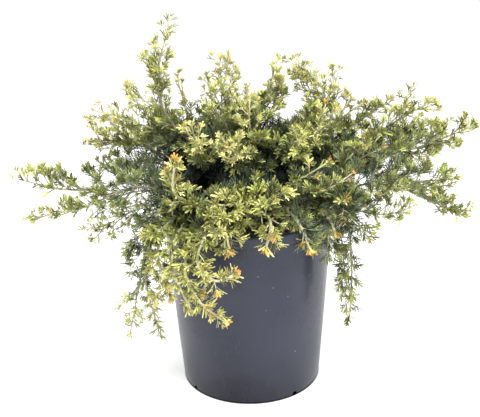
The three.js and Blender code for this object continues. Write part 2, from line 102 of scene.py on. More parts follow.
class Habit(Enum):
    """How a stem carries its foliage."""

    ARCHING = "side shoot with its twigs on the upper side"
    UPRIGHT = "rising shoot with twigs all round"
    CASCADE = "young shoot that spills over the rim, large pale leaves"
    HANGING = "old shoot that hangs outside the pot, dark above and pale at its end"
    TRAILING = "thin drooping shoot, almost bare"


@dataclass(frozen=True)
class StemRow:
    """One leafy stem: the bough it leaves, where, its habit and foliage, and the points that it passes."""

    bough: str
    share: float
    habit: Habit
    bud: float
    youth: float
    fullness: float
    points: tuple[tuple[float, float, float], ...]


A, U, C, H, T = Habit.ARCHING, Habit.UPRIGHT, Habit.CASCADE, Habit.HANGING, Habit.TRAILING

# A stem's name, then what its StemRow holds, in order.
STEM_TABLE: tuple[tuple, ...] = (
    ("left_long", "left", 1, A, 0.3, 0, 1, ((-130, -4, 246), (-196, -10, 241), (-269, -20, 262))),
    ("left_low", "left_front", 0.9, A, 0.5, -0.04, 1, ((-116, -46, 254), (-181, -50, 234), (-249, -60, 223))),
    ("left_droop_a", "left", 0.85, T, 0.2, 0, 1, ((-128, 26, 226), (-166, 32, 212), (-198, 32, 186))),
    ("left_droop_b", "left", 0.7, T, 0, 0, 1, ((-122, 6, 212), (-158, 8, 196), (-188, 8, 170))),
    ("left_back", "back_left", 0.9, A, 0.2, -0.04, 0.85, ((-122, 62, 252), (-164, 72, 248), (-205, 72, 242))),
    ("left_rise", "back_left", 1, A, 0.9, 0.21, 1.25, ((-118, 52, 272), (-158, 58, 280), (-193, 60, 279))),
    ("left_high", "upper_left", 0.8, A, 0.8, 0.26, 1.15, ((-98, 14, 300), (-140, 18, 316), (-178, 20, 328))),
    ("left_crest", "upper_left", 1, U, 0.8, 0.31, 1, ((-84, 40, 306), (-112, 54, 324), (-139, 60, 345))),
    ("tall", "upper_left", 0.95, U, 0.1, -0.06, 0.65, ((-82, 2, 312), (-96, 0, 352), (-79, 10, 433))),
    ("tall_side", "upper_left", 0.6, U, 1, 0.6, 0.05, ((-62, 30, 300), (-70, 34, 328), (-72, 32, 360))),
    ("top_left", "upper", 0.8, U, 1, 0.14, 1.2, ((-24, 8, 312), (-26, 12, 338), (-16, 20, 384))),
    ("top_back", "upper", 0.6, U, 0.3, 0.05, 0.85, ((-30, 54, 306), (-40, 70, 330), (-46, 80, 358))),
    ("top_centre", "upper", 1, U, 0.1, 0.2, 0.85, ((10, 30, 312), (30, 50, 346), (42, 60, 380))),
    ("top_lean", "upper_right", 1, U, 0.1, 0.2, 1.35, ((82, 16, 302), (90, 20, 340), (49, 20, 382))),
    ("top_right", "upper_right", 0.85, U, 0.9, 0.1, 0.42, ((84, 34, 312), (102, 40, 338), (111, 42, 368))),
    ("crest_right", "right_back", 0.8, U, 0.4, 0.12, 0.38, ((98, 58, 288), (124, 66, 304), (148, 70, 320))),
    ("right_high", "right_back", 1, A, 0.4, -0.1, 0.35, ((106, 66, 272), (150, 76, 300), (176, 72, 318))),
    ("right_crest", "right", 0.85, A, 0.3, 0.12, 1.1, ((132, 20, 276), (178, 22, 306), (220, 20, 329))),
    ("right_long", "right", 1, A, 0.5, -0.05, 1.45, ((146, 4, 262), (206, 2, 280), (262, 0, 303))),
    ("right_mid", "right_back", 0.9, A, 0.9, -0.1, 1.2, ((128, 38, 262), (182, 40, 272), (236, 34, 270))),
    ("right_front_long", "right_front", 0.9, A, 0.4, -0.18, 1.2,
     ((126, -42, 248), (180, -42, 250), (236, -40, 251))),
    ("right_low", "right", 0.75, A, 0.8, -0.18, 0.9, ((140, 30, 240), (186, 34, 219), (269, 40, 176))),
    ("right_droop", "right_front", 0.7, A, 0.4, 0.05, 1.15,
     ((118, -52, 222), (151, -54, 217), (186, -62, 230))),
    ("right_hang", "right_front", 1, H, 0.5, -0.1, 0.55, ((104, -62, 222), (112, -68, 172), (112, -62, 92))),
    ("right_skirt", "right_front", 0.85, H, 0.5, -0.25, 1.35,
     ((96, -66, 232), (114, -78, 220), (130, -84, 198))),
    ("right_upper", "right_front", 0.6, A, 0.8, 0.02, 1.3,
     ((92, -26, 258), (124, -34, 276), (152, -40, 290))),
    ("right_rim", "front_right", 0.8, C, 0.7, -0.62, 0.65, ((74, -76, 234), (84, -90, 228), (92, -98, 210))),
    ("front_rim", "front_right", 0.9, C, 0.9, -0.5, 0.7, ((48, -98, 232), (56, -116, 222), (62, -126, 203))),
    ("front_nod", "front", 0.9, C, 0.9, 0.04, 0.8, ((12, -100, 240), (22, -120, 236), (15, -132, 208))),
    ("front_fan_right", "front", 1, C, 0.1, -0.09, 1.15, ((14, -96, 248), (20, -104, 254), (28, -110, 262))),
    ("front_fan_left", "front", 0.7, C, 0.1, 0.06, 1.15,
     ((-12, -92, 246), (-26, -104, 250), (-36, -112, 254))),
    ("front_rise", "front_right", 0.6, U, 0.6, -0.2, 0.75, ((44, -72, 258), (66, -84, 276), (88, -90, 292))),
    ("front_bronze", "front_right", 1, U, 1, -0.2, 0.75, ((66, -84, 252), (84, -96, 262), (112, -92, 280))),
    ("front_corner", "right_front", 0.8, C, 0.4, -0.65, 1.15,
     ((90, -72, 242), (98, -92, 244), (98, -112, 256))),
    ("front_upright", "front_left", 0.7, C, 1, 0.1, 0.77,
     ((-60, -84, 246), (-77, -92, 262), (-73, -92, 299))),
    ("front_mass", "front_left", 0.85, C, 0.8, 0.16, 1.15,
     ((-26, -100, 236), (-24, -116, 226), (-20, -132, 207))),
    ("front_curl", "front_left", 1, C, 0.9, 0.2, 0.61,
     ((-44, -108, 222), (-54, -128, 196), (-34, -138, 180), (-12, -138, 190))),
    ("front_hang", "front_left_low", 1, C, 1, 0.15, 0.24,
     ((-64, -106, 210), (-66, -124, 180), (-52, -130, 152), (-25, -134, 130))),
    ("front_dangle", "front_left_low", 0.9, C, 0.2, 0.1, 0.32,
     ((-76, -94, 216), (-80, -112, 184), (-62, -120, 136))),
    ("front_drop", "left_front", 1, C, 0.9, 0.2, 0.76, ((-84, -72, 224), (-98, -88, 194), (-86, -96, 142))),
    ("left_hang", "left_front", 0.8, H, 0.3, 0, 0.85, ((-104, -54, 222), (-118, -60, 170), (-141, -50, 74))),
    ("left_hang_inner", "left_front", 0.95, H, 0.3, -0.1, 0.25,
     ((-94, -62, 218), (-114, -74, 168), (-104, -66, 80))),
    ("left_skirt", "left", 0.6, H, 0, -0.12, 0.9, ((-98, -26, 222), (-116, -38, 208), (-124, -44, 180))),
    ("middle_left", "upper_left", 0.7, U, 0.6, 0.54, 1.15,
     ((-46, -26, 280), (-54, -42, 302), (-59, -52, 327))),
    ("middle_front", "upper", 0.7, U, 0.2, 0.4, 1.4, ((-6, -30, 276), (-14, -50, 292), (-20, -70, 304))),
    ("middle_front_right", "upper_right", 0.7, U, 0.1, 0, 1.15,
     ((48, -28, 280), (54, -50, 296), (58, -72, 310))),
    ("middle", "upper", 0.9, U, 0.3, 0.52, 1.35, ((6, -8, 296), (4, -14, 318), (6, -10, 347))),
    ("middle_back", "upper", 0.8, U, 0.2, 0.1, 0.7, ((8, 50, 292), (4, 76, 316), (6, 96, 340))),
    ("middle_right", "upper_right", 0.9, U, 0.9, 0.3, 1.1, ((66, -14, 286), (82, -22, 312), (88, -24, 341))),
    ("back_crest_right", "back_right", 0.9, A, 0.6, 0, 0.7,
     ((56, 106, 268), (84, 144, 284), (108, 178, 294))),
    ("back_crest", "back", 1, A, 0.3, 0, 0.8, ((-22, 110, 274), (-14, 150, 290), (4, 192, 298))),
    ("back_crest_left", "back_left", 0.7, A, 0.8, 0, 0.8,
     ((-78, 88, 270), (-98, 124, 286), (-116, 162, 292))),
    ("back_long_right", "back_right", 1, A, 0.4, 0, 0.95, ((78, 112, 252), (130, 162, 258), (172, 208, 250))),
    ("back_long_left", "back", 0.85, A, 0.6, 0, 1.15, ((-80, 116, 250), (-126, 160, 248), (-166, 206, 240))),
    ("back_spill", "back_right", 0.7, H, 0.6, 0, 1, ((30, 112, 240), (40, 156, 216), (36, 172, 150))),
    ("back_spill_left", "back", 0.7, H, 0.4, 0, 1, ((-50, 106, 236), (-68, 146, 212), (-76, 164, 156))),
)
STEMS: dict[str, StemRow] = {name: StemRow(*row) for name, *row in STEM_TABLE}


@dataclass(frozen=True)
class Spray:
    """One long side twig: where it leaves its stem, where its tip is, its bud, and how much younger it is."""

    share: float
    tip: tuple[float, float, float]
    bud: float = 0.0
    youth: float = 0.0


SPRAY_TABLE: dict[str, tuple[tuple, ...]] = {
    "top_centre": (
        (0.25, (54, 27, 319)), (0.38, (46, 33, 329)), (0.5, (50, 40, 342), 0, 0.1),
        (0.62, (46, 47, 354), 0, 0.1),
    ),
    "top_lean": (
        (0.3, (62, 15, 318)), (0.42, (66, 17, 328), 0, 0.1), (0.52, (58, 19, 340), 0, 0.1),
        (0.66, (64, 20, 354), 0.3, 0.2), (0.8, (66, 20, 365), 0, 0.1), (0.72, (50, 20, 352), 0, 0.1),
        (0.6, (49, 20, 341), 0, 0.1), (0.85, (53, 20, 361), 0.3, 0.1),
    ),
    "right_crest": (
        (0.66, (191, 22, 313)), (0.78, (206, 22, 301), 0, 0.1), (0.88, (220, 21, 312), 0.3, 0.1),
        (0.6, (198, 22, 323)),
    ),
    "right_long": (
        (0.68, (216, 2, 303), 0, 0.1), (0.76, (234, 2, 282), 0.3, 0.1), (0.88, (258, 1, 290), 0.4, 0.1),
    ),
    "left_droop_b": (
        (0.6, (-170, 7, 185), 0, 0.1), (0.75, (-185, 8, 183), 0, 0.1), (0.85, (-193, 8, 192), 0, 0.2),
        (0.5, (-153, 6, 190)), (0.55, (-157, 7, 207)),
    ),
    "left_droop_a": ((0.85, (-179, 32, 186), 0, 0.1),),
    "tall": (
        (0.5, (-107, 0, 381)), (0.58, (-110, 0, 391), 0, 0.1), (0.42, (-107, 1, 367)),
        (0.7, (-99, 2, 401), 0, 0.1), (0.66, (-80, 1, 387), 0, 0.1),
    ),
    "right_rim": ((0.75, (88, -90, 187)), (0.6, (94, -81, 194))),
    "right_hang": ((0.45, (99, -70, 165)), (0.66, (101, -68, 131), 0, 0.1), (0.58, (98, -69, 144), 0, 0.1)),
    "right_mid": ((0.86, (241, 38, 261), 0.6, 0.1), (0.78, (219, 39, 247)), (0.5, (196, 38, 252), 0, 0.2)),
    "right_front_long": (
        (0.76, (216, -42, 238), 0.3, 0.1), (0.66, (199, -42, 240)), (0.45, (172, -44, 230), 0, 0.2),
        (0.55, (196, -42, 262), 0.4, 0.2),
    ),
    "right_low": (
        (0.62, (213, 35, 198)), (0.3, (168, 32, 252), 0.3, 0.2), (0.42, (200, 34, 234), 0, 0.2),
        (0.86, (269, 38, 172), 0.5, 0.1), (0.68, (236, 35, 183), 0, 0.1), (0.78, (253, 37, 177), 0.4, 0.1),
    ),
    "right_droop": ((0.5, (168, -52, 238), 0, 0.2), (0.8, (176, -56, 220), 0, 0.1)),
    "front_drop": ((0.85, (-99, -94, 138), 0.3, 0.1), (0.7, (-92, -91, 148), 0, 0.1)),
    "left_crest": (
        (0.8, (-141, 56, 341), 0.4, 0.1), (0.66, (-145, 49, 329)), (0.85, (-138, 57, 333), 0, 0.1),
    ),
    "left_high": ((0.62, (-160, 16, 304)), (0.78, (-163, 18, 313), 0, 0.1)),
    "left_rise": (
        (0.8, (-182, 59, 296), 0.3, 0.1), (0.6, (-166, 55, 270)), (0.66, (-174, 56, 268), 0, 0.1),
        (0.78, (-186, 58, 270), 0, 0.1), (0.72, (-179, 57, 272), 0, 0.1), (0.84, (-190, 59, 276), 0, 0.1),
        (0.5, (-154, 53, 274)),
    ),
    "left_low": (
        (0.36, (-136, -46, 237), 0, -0.1), (0.62, (-197, -49, 223), 0, 0.1), (0.72, (-207, -51, 219), 0, 0.1),
        (0.86, (-236, -55, 219), 0, 0.1), (0.6, (-187, -49, 228), 0, 0.1),
    ),
    "top_left": (
        (0.72, (-30, 14, 384), 0.3, 0.1), (0.76, (-10, 15, 382), 0.3, 0.1), (0.6, (-6, 11, 353)),
        (0.5, (-8, 9, 345), 0, 0.1), (0.66, (-6, 12, 355), 0, 0.1),
    ),
    "crest_right": ((0.66, (128, 62, 326), 0, 0.1),),
    "top_right": ((0.8, (100, 40, 363), 0.5, 0.1), (0.6, (122, 36, 322))),
    "left_long": ((0.74, (-235, -13, 269), 0, 0.1), (0.88, (-256, -17, 266), 0.3, 0.1)),
    "left_hang": (
        (0.36, (-135, -57, 185)), (0.82, (-126, -55, 96), 0, 0.1), (0.72, (-147, -57, 120), 0, 0.1),
    ),
    "tall_side": ((0.8, (-81, 34, 359), 0.8, 0.2),),
    "right_high": ((0.86, (180, 76, 312), 0.3, 0.1), (0.6, (167, 72, 303))),
}
SPRAYS: dict[str, tuple[Spray, ...]] = {
    stem: tuple(Spray(*row) for row in rows) for stem, rows in SPRAY_TABLE.items()
}

# The way in which a stem's twigs grow longer, and by how much of their length.
FAVOUR: dict[str, tuple[float, float, float]] = {
    "left_long": (0, 0, 0.25),
    "left_low": (0, 0, -0.4),
    "left_back": (0, 0, -0.5),
    "left_crest": (0.3, 0, 0.3),
    "top_centre": (0.9, 0, 0),
    "left_high": (0, 0, -0.3),
    "left_skirt": (0.5, 0, 0),
    "top_lean": (0, 0, -0.5),
    "top_right": (-0.3, 0, 0),
    "right_crest": (0, 0, -0.5),
    "right_low": (0, 0, -0.6),
    "right_mid": (0, 0, -0.4),
    "right_long": (0, 0, -0.3),
    "right_hang": (-0.7, 0, 0),
    "right_skirt": (0, 0, 0.4),
}


def mix(low: float, high: float, share: float) -> float:
    """A value part of the way between two."""
    return low + (high - low) * share


def clamp(value: float, low: float = 0.0, high: float = 1.0) -> float:
    """A value held between two limits."""
    return max(low, min(high, value))


class Spline:
    """A smooth centripetal curve through points, walked by its length, as the CAD source has it."""

    SAMPLES = 120

    def __init__(self, points: list[Vector]) -> None:
        """Samples the curve.

        Args:
            points: The points that the curve passes, in order.
        """
        self.points = points
        self.samples = [self._point(i / self.SAMPLES) for i in range(self.SAMPLES + 1)]
        self.runs = [0.0]
        for last, here in zip(self.samples, self.samples[1:]):
            self.runs.append(self.runs[-1] + (here - last).length)
        self.length = self.runs[-1]

    def _point(self, share: float) -> Vector:
        """The point at a share of the curve's own parameter."""
        count = len(self.points)
        place = (count - 1) * share
        index = min(int(place), count - 2)
        weight = place - index
        p1, p2 = self.points[index], self.points[index + 1]
        p0 = self.points[index - 1] if index > 0 else p1 * 2 - p2
        p3 = self.points[index + 2] if index + 2 < count else p2 * 2 - p1
        d0, d1, d2 = ((b - a).length ** 0.5 for a, b in ((p0, p1), (p1, p2), (p2, p3)))
        t1 = ((p1 - p0) / d0 - (p2 - p0) / (d0 + d1) + (p2 - p1) / d1) * d1
        t2 = ((p2 - p1) / d1 - (p3 - p1) / (d1 + d2) + (p3 - p2) / d2) * d1
        second = (p2 - p1) * 3 - t1 * 2 - t2
        third = (p1 - p2) * 2 + t1 + t2
        return p1 + t1 * weight + second * weight**2 + third * weight**3

    def at(self, run: float) -> Vector:
        """The point at a length along the curve."""
        run = clamp(run, 0.0, self.length)
        low, high = 0, self.SAMPLES
        while high - low > 1:
            middle = (low + high) // 2
            if self.runs[middle] <= run:
                low = middle
            else:
                high = middle
        span = self.runs[high] - self.runs[low]
        return self.samples[low].lerp(self.samples[high], (run - self.runs[low]) / max(span, 1e-6))

    def heading(self, run: float) -> Vector:
        """The direction of travel at a length along the curve."""
        step = 1.0
        return (self.at(run + step) - self.at(run - step)).normalized()


def bough_curve(name: str) -> Spline:
    """A bough's curve, from the crown outwards."""
    end = Vector(BOUGHS[name])
    start = CROWN + (end - CROWN).normalized() * CROWN_RADIUS * 0.6
    middle = CROWN.lerp(end, 0.55)
    middle.z += BOUGH_RISE * math.hypot(end.x, end.y) - BOUGH_SAG
    return Spline([start, middle, end])


def stem_curve(row: StemRow) -> Spline:
    """A leafy stem's curve, from its bough to its tip."""
    bough = bough_curve(row.bough)
    start = bough.at(bough.length * row.share)
    return Spline([start] + [Vector(point) for point in row.points])


def kept_mesh(bm: bmesh.types.BMesh, name: str) -> bpy.types.Mesh:
    """Writes a finished bmesh to a new mesh, and ends it."""
    mesh = bpy.data.meshes.new(name)
    bm.to_mesh(mesh)
    bm.free()
    return mesh


def place_object(name: str, mesh: bpy.types.Mesh) -> bpy.types.Object:
    """An object for a finished mesh, linked to the scene."""
    made = bpy.data.objects.new(name, mesh)
    bpy.context.scene.collection.objects.link(made)
    return made


def fresh_verts(geom: list) -> list[bmesh.types.BMVert]:
    """The vertices among what an operator made."""
    return [item for item in geom if isinstance(item, bmesh.types.BMVert)]


def extrude(bm: bmesh.types.BMesh, edges: list[bmesh.types.BMEdge]) -> tuple[list, list]:
    """Extrudes edges on the spot.

    Args:
        bm: The mesh.
        edges: The open edges to start from.

    Returns:
        The new vertices, and the new edges that join them.
    """
    geom = bmesh.ops.extrude_edge_only(bm, edges=edges)["geom"]
    verts = fresh_verts(geom)
    joined = [item for item in geom if isinstance(item, bmesh.types.BMEdge)]
    return verts, [edge for edge in joined if all(vert in verts for vert in edge.verts)]


def spin_profile(bm: bmesh.types.BMesh, profile: list[tuple[float, float]], segments: int) -> None:
    """Spins points of radius and height, the first and last on the axis, into a closed solid."""
    verts = [bm.verts.new((radius, 0.0, height)) for radius, height in profile]
    edges = [bm.edges.new(pair) for pair in zip(verts, verts[1:])]
    bmesh.ops.spin(
        bm, geom=verts + edges, axis=UP, cent=(0, 0, 0), angle=math.tau, steps=segments, use_merge=True
    )
    bmesh.ops.remove_doubles(bm, verts=bm.verts, dist=0.001)


@dataclass(frozen=True)
class Tint:
    """What a vertex tells the materials: how young it is, how much of a bud, and its own shade.

    Spread is how far the lobes of one leaf differ in shade.
    """

    youth: float
    bud: float = 0.0
    shade: float = 0.5
    spread: float = 0.0


class Sheet:
    """A mesh in the making, which carries the growth attribute and a UV map."""

    def __init__(self) -> None:
        """Starts an empty mesh."""
        self.bm = bmesh.new()
        self.growth = self.bm.verts.layers.float_color.new(GROWTH)
        self.uv = self.bm.loops.layers.uv.new(UV)

    def tube(self, stations: list[tuple[Vector, float, Tint]], sides: int, material: int = 0) -> None:
        """A closed round bar through stations.

        Args:
            stations: Centre, radius and tint of each ring.
            sides: How many sides the bar has.
            material: The material slot of its faces.
        """
        centres = [station[0] for station in stations]
        frames = self._frames(centres, [station[1] for station in stations])
        known = len(self.bm.faces)
        circle = {"cap_ends": True, "segments": sides, "radius": 1.0, "matrix": frames[0]}
        ring = bmesh.ops.create_circle(self.bm, **circle)["verts"]
        self._tint(ring, stations[0][2], 0.0)
        edges = list(dict.fromkeys(edge for vert in ring for edge in vert.link_edges))
        total = sum((b - a).length for a, b in zip(centres, centres[1:]))
        run = 0.0
        for i in range(1, len(stations)):
            run += (centres[i] - centres[i - 1]).length
            verts, edges = extrude(self.bm, edges)
            bmesh.ops.transform(self.bm, matrix=frames[i] @ frames[i - 1].inverted(), verts=verts)
            self._tint(verts, stations[i][2], run / max(total, 1e-6))
        bmesh.ops.contextual_create(self.bm, geom=edges)
        self.bm.faces.ensure_lookup_table()
        for face in self.bm.faces[known:]:
            face.material_index = material
            face.smooth = True

    @staticmethod
    def _frames(centres: list[Vector], radii: list[float]) -> list[Matrix]:
        """A frame for each ring of a bar, turned as little as possible from one to the next."""
        frames = []
        turn = Matrix.Identity(3)
        last = UP
        for i, (centre, radius) in enumerate(zip(centres, radii)):
            ahead = centres[min(i + 1, len(centres) - 1)] - centres[max(i - 1, 0)]
            ahead.normalize()
            turn = last.rotation_difference(ahead).to_matrix() @ turn
            last = ahead
            frames.append(Matrix.LocRotScale(centre, turn.to_quaternion(), (radius,) * 3))
        return frames

    def _tint(self, verts: list[bmesh.types.BMVert], tint: Tint, along: float) -> None:
        """Writes the growth attribute of new vertices."""
        for vert in verts:
            vert[self.growth] = (tint.youth, tint.bud, tint.shade, along)

    def stamp(self, pattern: bpy.types.Mesh, place: Matrix, tint: Tint) -> None:
        """Adds a copy of a small mesh.

        Args:
            pattern: The mesh to copy, with its own growth attribute and UV map.
            place: Where it goes.
            tint: The copy's tint; how far along the pattern a vertex lies stays as it is.
        """
        known = len(self.bm.verts)
        self.bm.from_mesh(pattern)
        self.bm.verts.ensure_lookup_table()
        verts = self.bm.verts[known:]
        bmesh.ops.transform(self.bm, matrix=place, verts=verts)
        self.growth = self.bm.verts.layers.float_color[GROWTH]
        for vert in verts:
            own, _, _, along = vert[self.growth]
            vert[self.growth] = (tint.youth, tint.bud, clamp(tint.shade + (own - 0.5) * tint.spread), along)

    def take(self, other: "Sheet") -> None:
        """Adds another sheet's mesh to this one and ends the other.

        Args:
            other: A small sheet; many small ones are far quicker to work on than a large one.
        """
        self._bring(kept_mesh(other.bm, "part"))

    def settle(self) -> None:
        """Rebuilds the mesh without the gaps of deleted parts, so that what is added next comes last."""
        mesh = bpy.data.meshes.new("settled")
        self.bm.to_mesh(mesh)
        self.bm.clear()
        self._bring(mesh)

    def _bring(self, mesh: bpy.types.Mesh) -> None:
        """Reads a mesh in and removes it; the layers are looked up again, because reading can move them."""
        self.bm.from_mesh(mesh)
        bpy.data.meshes.remove(mesh)
        self.growth = self.bm.verts.layers.float_color[GROWTH]
        self.uv = self.bm.loops.layers.uv[UV]

    def piece(self, name: str, materials: list[bpy.types.Material]) -> bpy.types.Object:
        """Makes the mesh an object in the scene, in metres.

        Args:
            name: The object's name.
            materials: Its material slots.

        Returns:
            The object, at the origin.
        """
        bmesh.ops.scale(self.bm, vec=(METRES,) * 3, verts=self.bm.verts)
        mesh = kept_mesh(self.bm, name)
        for material in materials:
            mesh.materials.append(material)
        return place_object(name, mesh)


class Nodes:
    """A short way to build a node tree."""

    def __init__(self, tree: bpy.types.NodeTree) -> None:
        """Takes the tree to build in."""
        self.tree = tree

    def add(self, kind: str, values: dict | None = None, **settings: object) -> bpy.types.Node:
        """Adds a node.

        Args:
            kind: The node's type, without its ShaderNode prefix.
            values: Input sockets by name or index: a value, or a socket to link from.
            settings: The node's own properties.

        Returns:
            The node.
        """
        prefix = "" if kind.startswith("Node") else "ShaderNode"
        node = self.tree.nodes.new(prefix + kind)
        for key, value in settings.items():
            setattr(node, key, value)
        for key, value in (values or {}).items():
            if isinstance(value, bpy.types.NodeSocket):
                self.tree.links.new(value, node.inputs[key])
            else:
                node.inputs[key].default_value = value
        return node

    def ramp(self, source: bpy.types.NodeSocket, stops: list[tuple[float, tuple]]) -> bpy.types.NodeSocket:
        """A colour ramp.

        Args:
            source: The socket that drives it.
            stops: Position and linear RGB colour of each stop.

        Returns:
            Its colour socket.
        """
        node = self.add("ValToRGB", {"Fac": source})
        elements = node.color_ramp.elements
        while len(elements) < len(stops):
            elements.new(1.0)
        for element, (position, colour) in zip(elements, stops):
            element.position = position
            element.color = (*colour, 1.0)
        return node.outputs["Color"]

    def blend(self, kind: str, share: object, first: object, second: object) -> bpy.types.NodeSocket:
        """Mixes two colours in one of the blend modes."""
        colours = [
            value if isinstance(value, bpy.types.NodeSocket) else (*value, 1.0) for value in (first, second)
        ]
        values = {0: share, 6: colours[0], 7: colours[1]}
        return self.add("Mix", values, data_type="RGBA", blend_type=kind).outputs[2]

    def maths(self, operation: str, *values: object) -> bpy.types.NodeSocket:
        """A Math node's result."""
        return self.add("Math", dict(enumerate(values)), operation=operation).outputs[0]

    def spread(
        self, source: bpy.types.NodeSocket, low: float, high: float, to: tuple[float, float] = (0.0, 1.0)
    ) -> bpy.types.NodeSocket:
        """Maps a value's range to another, held at both ends."""
        values = {"Value": source, "From Min": low, "From Max": high, "To Min": to[0], "To Max": to[1]}
        return self.add("MapRange", values).outputs["Result"]

    def apart(self, vector: bpy.types.NodeSocket, axis: str) -> bpy.types.NodeSocket:
        """One of a vector's three numbers."""
        return self.add("SeparateXYZ", {"Vector": vector}).outputs[axis]

    def length(self, vector: bpy.types.NodeSocket) -> bpy.types.NodeSocket:
        """A vector's length."""
        return self.add("VectorMath", {0: vector}, operation="LENGTH").outputs["Value"]


def speckle_group() -> bpy.types.NodeTree:
    """The shared effect of uneven colour: coarse clouds broken up by a finer grain.

    Returns:
        A node group with Vector, Clouds and Grain inputs, both scales per metre, and a Value output.
    """
    name = "uneven_surface"
    if name in bpy.data.node_groups:
        return bpy.data.node_groups[name]
    tree = bpy.data.node_groups.new(name, "ShaderNodeTree")
    for label, kind in (("Vector", "Vector"), ("Clouds", "Float"), ("Grain", "Float")):
        tree.interface.new_socket(label, in_out="INPUT", socket_type=f"NodeSocket{kind}")
    tree.interface.new_socket("Value", in_out="OUTPUT", socket_type="NodeSocketFloat")
    nodes = Nodes(tree)
    given = nodes.add("NodeGroupInput").outputs
    clouds = nodes.add("TexNoise", {"Vector": given["Vector"], "Scale": given["Clouds"], "Detail": 3.0})
    grain = nodes.add("TexNoise", {"Vector": given["Vector"], "Scale": given["Grain"], "Detail": 2.0})
    coarse = nodes.maths("MULTIPLY", clouds.outputs["Fac"], 0.65)
    mixed = nodes.maths("MULTIPLY_ADD", grain.outputs["Fac"], 0.35, coarse)
    nodes.add("NodeGroupOutput", {"Value": mixed})
    return tree


class Finish:
    """A material under construction: a Principled shader and the tools to feed it."""

    def __init__(self, name: str, **values: object) -> None:
        """Starts the material.

        Args:
            name: Its name.
            values: Constant values of the shader's sockets, spaces written as underscores.
        """
        self.material = bpy.data.materials.new(name)
        self.material.use_nodes = True
        self.nodes = Nodes(self.material.node_tree)
        self.shader = self.material.node_tree.nodes["Principled BSDF"]
        for key, value in values.items():
            self.shader.inputs[key.replace("_", " ")].default_value = value

    def feed(self, **sockets: bpy.types.NodeSocket) -> None:
        """Links sockets to the shader's inputs by name."""
        for key, socket in sockets.items():
            self.nodes.tree.links.new(socket, self.shader.inputs[key.replace("_", " ")])

    def place(self) -> bpy.types.NodeSocket:
        """Object coordinates, in metres."""
        return self.nodes.add("TexCoord").outputs["Object"]

    def uneven(self, clouds: float, grain: float) -> bpy.types.NodeSocket:
        """The shared uneven value on Object coordinates."""
        values = {"Vector": self.place(), "Clouds": clouds, "Grain": grain}
        return self.nodes.add("Group", values, node_tree=speckle_group()).outputs["Value"]

    def growth(self) -> tuple[bpy.types.NodeSocket, ...]:
        """Youth, bud, shade and the place along, from the piece's growth attribute."""
        node = self.nodes.add("Attribute", attribute_type="GEOMETRY", attribute_name=GROWTH)
        parts = self.nodes.add("SeparateColor", {"Color": node.outputs["Color"]}).outputs
        return parts["Red"], parts["Green"], parts["Blue"], node.outputs["Alpha"]

    def bump(self, height: bpy.types.NodeSocket, strength: float, distance_mm: float) -> None:
        """Lets a height feed the shader's normal."""
        values = {"Height": height, "Strength": strength, "Distance": distance_mm * METRES}
        self.feed(Normal=self.nodes.add("Bump", values).outputs["Normal"])


@dataclass(frozen=True)
class LeafFinish:
    """Leaves: dark blue-green when old, through olive to pale yellow-green, rusty orange in bud."""

    name: str = "grevillea leaf"
    roughness: float = 0.46
    shaded_roughness: float = 0.95
    specular: float = 0.24
    ages: tuple[tuple[float, tuple[float, float, float]], ...] = (
        (0.0, (0.055, 0.085, 0.062)),
        (0.25, (0.100, 0.135, 0.075)),
        (0.5, (0.225, 0.255, 0.078)),
        (0.75, (0.335, 0.358, 0.088)),
        (1.0, (0.520, 0.505, 0.185)),
    )
    buds: tuple[tuple[float, tuple[float, float, float]], ...] = (
        (0.35, (0.70, 0.42, 0.09)),
        (0.65, (0.62, 0.24, 0.05)),
    )
    vein: tuple[float, float, float] = (0.50, 0.48, 0.26)

    def make(self) -> bpy.types.Material:
        """Builds the material."""
        finish = Finish(self.name, Specular_IOR_Level=self.specular)
        nodes = finish.nodes
        youth, bud, shade, along = finish.growth()
        cloud = finish.uneven(160.0, 900.0)
        age = nodes.maths("ADD", youth, nodes.spread(cloud, 0.3, 0.7, (-0.08, 0.08)))
        green = nodes.ramp(age, list(self.ages))
        # Shade holds each leaf's random tone and the painted shade of the plant's middle.
        light = nodes.spread(shade, 0.0, 1.0, (0.25, 1.6))
        # Painted shade: each lobe darker at its base, lighter towards its tip.
        light = nodes.maths("MULTIPLY", light, nodes.spread(along, 0.0, 1.0, (0.68, 1.12)))
        light = nodes.maths("MULTIPLY", light, nodes.spread(cloud, 0.3, 0.7, (0.75, 1.25)))
        grey = nodes.add("CombineColor", {0: light, 1: light, 2: light}).outputs[0]
        green = nodes.blend("MULTIPLY", 1.0, green, grey)
        across = nodes.apart(nodes.add("UVMap", uv_map=UV).outputs["UV"], "X")
        off_rib = nodes.maths("ABSOLUTE", nodes.maths("SUBTRACT", across, 0.5))
        rib = nodes.spread(off_rib, 0.04, 0.16, (0.5, 0.0))
        green = nodes.blend("MIX", nodes.maths("MULTIPLY", rib, youth), green, self.vein)
        finish.feed(Roughness=nodes.spread(shade, 0.0, 0.6, (self.shaded_roughness, self.roughness)))
        orange = nodes.ramp(cloud, list(self.buds))
        reach = nodes.spread(along, 0.1, 0.7, (0.35, 1.0))
        finish.feed(Base_Color=nodes.blend("MIX", nodes.maths("MULTIPLY", bud, reach), green, orange))
        finish.bump(nodes.maths("ADD", cloud, nodes.maths("MULTIPLY", rib, -1.0)), 0.4, 0.3)
        return finish.material


